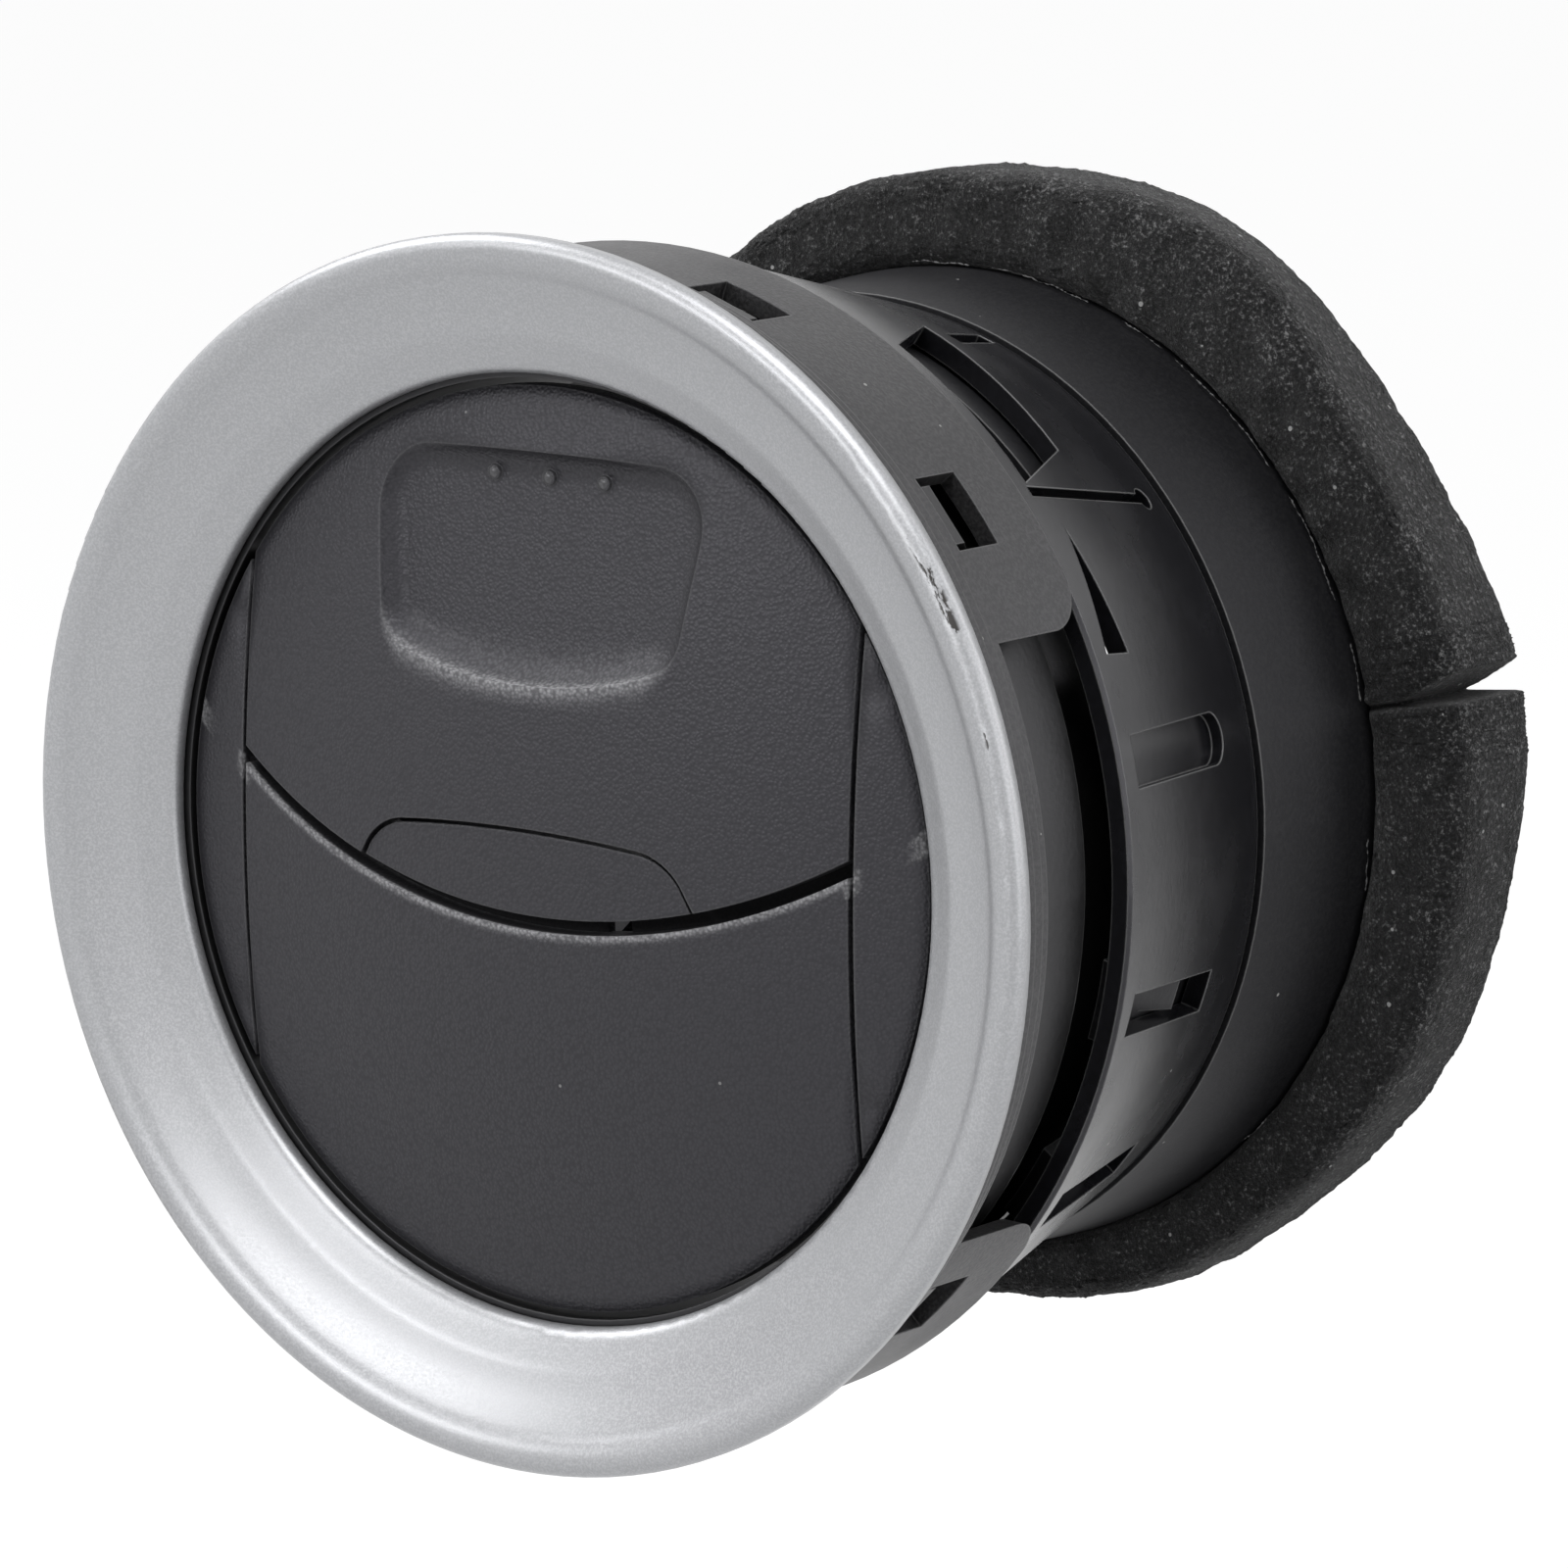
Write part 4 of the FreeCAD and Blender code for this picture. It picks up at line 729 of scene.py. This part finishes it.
def glue_string(start, end, seed):
    """A thread of dried glue: a thin tube whose middle wanders along an arc from start to end."""
    rng = np.random.default_rng(seed)
    steps = max(int(abs(end - start) * 4), 12)
    angle = np.radians(np.linspace(start, end, steps))
    wander = np.cumsum(rng.normal(0, 0.00003, (2, steps)), axis=1)
    wander -= wander.mean(axis=1, keepdims=True)
    radius = GLUE_RADIUS + np.clip(wander[0], -0.0003, 0.0003)
    along = GLUE_ALONG + np.clip(wander[1], -0.0001, 0.0001)
    middle = np.stack([radius * np.cos(angle), along, radius * np.sin(angle)], axis=-1)
    tangent = np.gradient(middle, axis=0)
    tangent /= np.linalg.norm(tangent, axis=1, keepdims=True)
    side = np.cross(tangent, (0.0, 1.0, 0.0))
    side /= np.linalg.norm(side, axis=1, keepdims=True)
    rise = np.cross(side, tangent)
    thick = THREAD_THIN + 0.00009 * rng.random(steps) ** 2
    thick[[0, -1]] = THREAD_THIN
    turn = np.linspace(0, 2 * np.pi, 6, endpoint=False)[None, :, None]
    ring = side[:, None] * np.cos(turn) + rise[:, None] * np.sin(turn)
    return middle[:, None] + ring * thick[:, None, None]


def joined(name, pieces):
    """Joins pieces into the first one and renames it."""
    first = pieces[0]
    with bpy.context.temp_override(active_object=first, selected_editable_objects=pieces):
        bpy.ops.object.join()
    first.name = name
    return first


def glue_strings():
    """All the threads of dried glue along the foam's inner edge, as one mesh."""
    threads = []
    for number, (start, end) in enumerate(GLUE_SPANS):
        points = glue_string(start, end, number)
        threads.append(surface(f"glue_{number}", points, False, True, GLUE))
    return joined("glue_strings", threads)


# The pips' radius, height and spacing; where the row stands, and the floor of the recess, which
# leans back from its foot
PIP_RADIUS = 0.00062
PIP_HEIGHT = 0.00048
PIP_SPACING = 0.0054
PIP_ROW = 0.0293
FLOOR_FOOT = 0.0149
FLOOR_ALONG = 0.0009
FLOOR_LEAN = math.radians(8.0)


def pip_domes():
    """Three rounded pips: flattened spheres, sunk to their equator in the recess's floor, in a
    paler plastic than the face as a painted highlight.
    """
    centre_y = FLOOR_ALONG + (PIP_ROW - FLOOR_FOOT) * math.tan(FLOOR_LEAN)
    u = np.linspace(0, 2 * np.pi, 28, endpoint=False)[:, None]
    v = np.linspace(0.02, np.pi - 0.02, 15)[None, :]
    x = PIP_RADIUS * np.cos(u) * np.sin(v)
    z = PIP_RADIUS * np.sin(u) * np.sin(v)
    y = -PIP_HEIGHT * np.cos(v) + 0 * u
    domes = []
    for number in (-1, 0, 1):
        points = np.stack([x + PIP_SPACING * number, y + centre_y, z + PIP_ROW], axis=-1)
        domes.append(surface(f"pip_{number}", points, True, False, PIP_PAINTED_HIGHLIGHT))
    return joined("pip_domes", domes)


foam = foam_strip()
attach(foam, "vent_body")
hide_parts("foam_seal")
glue = glue_strings()
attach(glue, "vent_body")
pips = pip_domes()
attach(pips, "upper_flap")


# Floor, light and camera


FLOOR_SIZE = 8.0
FLOOR_PLACE = (0.0, 0.0, -0.16)


def stage_plane(name, size, place):
    """A plane that looks white, keeps the object's soft shadow and lights it as paper."""
    mesh = bpy.data.meshes.new(name)
    half = size / 2
    corners = [(-half, -half, 0), (half, -half, 0), (half, half, 0), (-half, half, 0)]
    mesh.from_pydata(corners, [], [(0, 1, 2, 3)])
    plane = bpy.data.objects.new(name, mesh)
    plane.location = place
    bpy.context.scene.collection.objects.link(plane)
    material = bpy.data.materials.new(name)
    material.use_nodes = True
    tree = material.node_tree
    paper = tree.nodes["Principled BSDF"]
    paper.inputs["Base Color"].default_value = (0.6, 0.6, 0.6, 1.0)
    paper.inputs["Roughness"].default_value = 0.9
    shade = add_node(tree, "ShaderNodeBsdfDiffuse", Color=(0.16, 0.16, 0.16, 1.0))
    glow = add_node(tree, "ShaderNodeEmission", Color=(1.0, 1.0, 1.0, 1.0), Strength=0.95)
    shown = tree.nodes.new("ShaderNodeAddShader")
    tree.links.new(shade.outputs["BSDF"], shown.inputs[0])
    tree.links.new(glow.outputs["Emission"], shown.inputs[1])
    mix = tree.nodes.new("ShaderNodeMixShader")
    tree.links.new(seen_rays(tree), mix.inputs["Fac"])
    tree.links.new(paper.outputs["BSDF"], mix.inputs[1])
    tree.links.new(shown.outputs["Shader"], mix.inputs[2])
    tree.links.new(mix.outputs["Shader"], tree.nodes["Material Output"].inputs["Surface"])
    mesh.materials.append(material)


def seen_rays(tree):
    """1 for rays from the camera, or by way of a reflection or a transparent wall; else 0."""
    path = tree.nodes.new("ShaderNodeLightPath")
    both = math_node(tree, "ADD", path.outputs["Is Camera Ray"], path.outputs["Is Glossy Ray"])
    return math_node(tree, "ADD", both, path.outputs["Is Transmission Ray"], clamp=True)


stage_plane("floor", FLOOR_SIZE, FLOOR_PLACE)


def softbox(name, place, target, width, height, power):
    """An area light that looks at a point."""
    light = bpy.data.lights.new(name, "AREA")
    light.shape = "RECTANGLE"
    light.size = width
    light.size_y = height
    light.energy = power
    lamp = bpy.data.objects.new(name, light)
    direction = np.array(target) - np.array(place)
    direction = direction / np.linalg.norm(direction)
    side = np.cross(direction, (0.0, 0.0, 1.0))
    side = side / np.linalg.norm(side)
    up = np.cross(side, direction)
    turn = Matrix(np.column_stack([side, up, -direction]).tolist()).to_4x4()
    lamp.matrix_world = Matrix.Translation(place) @ turn
    bpy.context.scene.collection.objects.link(lamp)


CENTRE = (0.0, 0.03, 0.0)
# Each lamp: name, place, width, height and power in watts
LAMPS = (
    ("key_above", (0.15, -0.3, 0.75), 0.6, 0.4, 4.4),
    ("above_left", (-0.65, -0.12, 0.6), 0.4, 0.4, 4.0),
    ("front_above", (-0.37, -0.87, 0.33), 0.6, 0.2, 2.4),
    ("rear_right", (0.75, 0.45, 0.35), 0.35, 0.9, 2.2),
    ("right_strip", (0.88, -0.2, 0.1), 0.35, 0.8, 1.7),
)
for name, place, width, height, power in LAMPS:
    softbox(name, place, CENTRE, width, height, power)

WORLD_STRENGTH = 0.12
world = bpy.data.worlds.new("studio")
world.use_nodes = True
bpy.context.scene.world = world
tree = world.node_tree
background = tree.nodes["Background"]
background.inputs["Color"].default_value = (0.97, 0.98, 1.0, 1.0)
background.inputs["Strength"].default_value = WORLD_STRENGTH
white = add_node(tree, "ShaderNodeBackground", Color=(1.0, 1.0, 1.0, 1.0), Strength=1.0)
mix = tree.nodes.new("ShaderNodeMixShader")
tree.links.new(seen_rays(tree), mix.inputs["Fac"])
tree.links.new(background.outputs["Background"], mix.inputs[1])
tree.links.new(white.outputs["Background"], mix.inputs[2])
tree.links.new(mix.outputs["Shader"], tree.nodes["World Output"].inputs["Surface"])

# The camera fitted to the photo's edges
camera = bpy.data.cameras.new("camera")
camera.sensor_width = 36.0
camera.lens = 173.153
viewer = bpy.data.objects.new("camera", camera)
CAMERA_RIGHT = (0.79954914, 0.60059189, 0.00324708)
CAMERA_UP = (-0.10894653, 0.13971617, 0.98417988)
CAMERA_BACK = (0.59063679, -0.78725394, 0.17714235)
CAMERA_PLACE = (0.360004, -0.446858, 0.109004)
turn = Matrix((CAMERA_RIGHT, CAMERA_UP, CAMERA_BACK)).transposed().to_4x4()
viewer.matrix_world = Matrix.Translation(CAMERA_PLACE) @ turn
bpy.context.scene.collection.objects.link(viewer)
bpy.context.scene.camera = viewer
bpy.context.scene.view_settings.view_transform = "Standard"
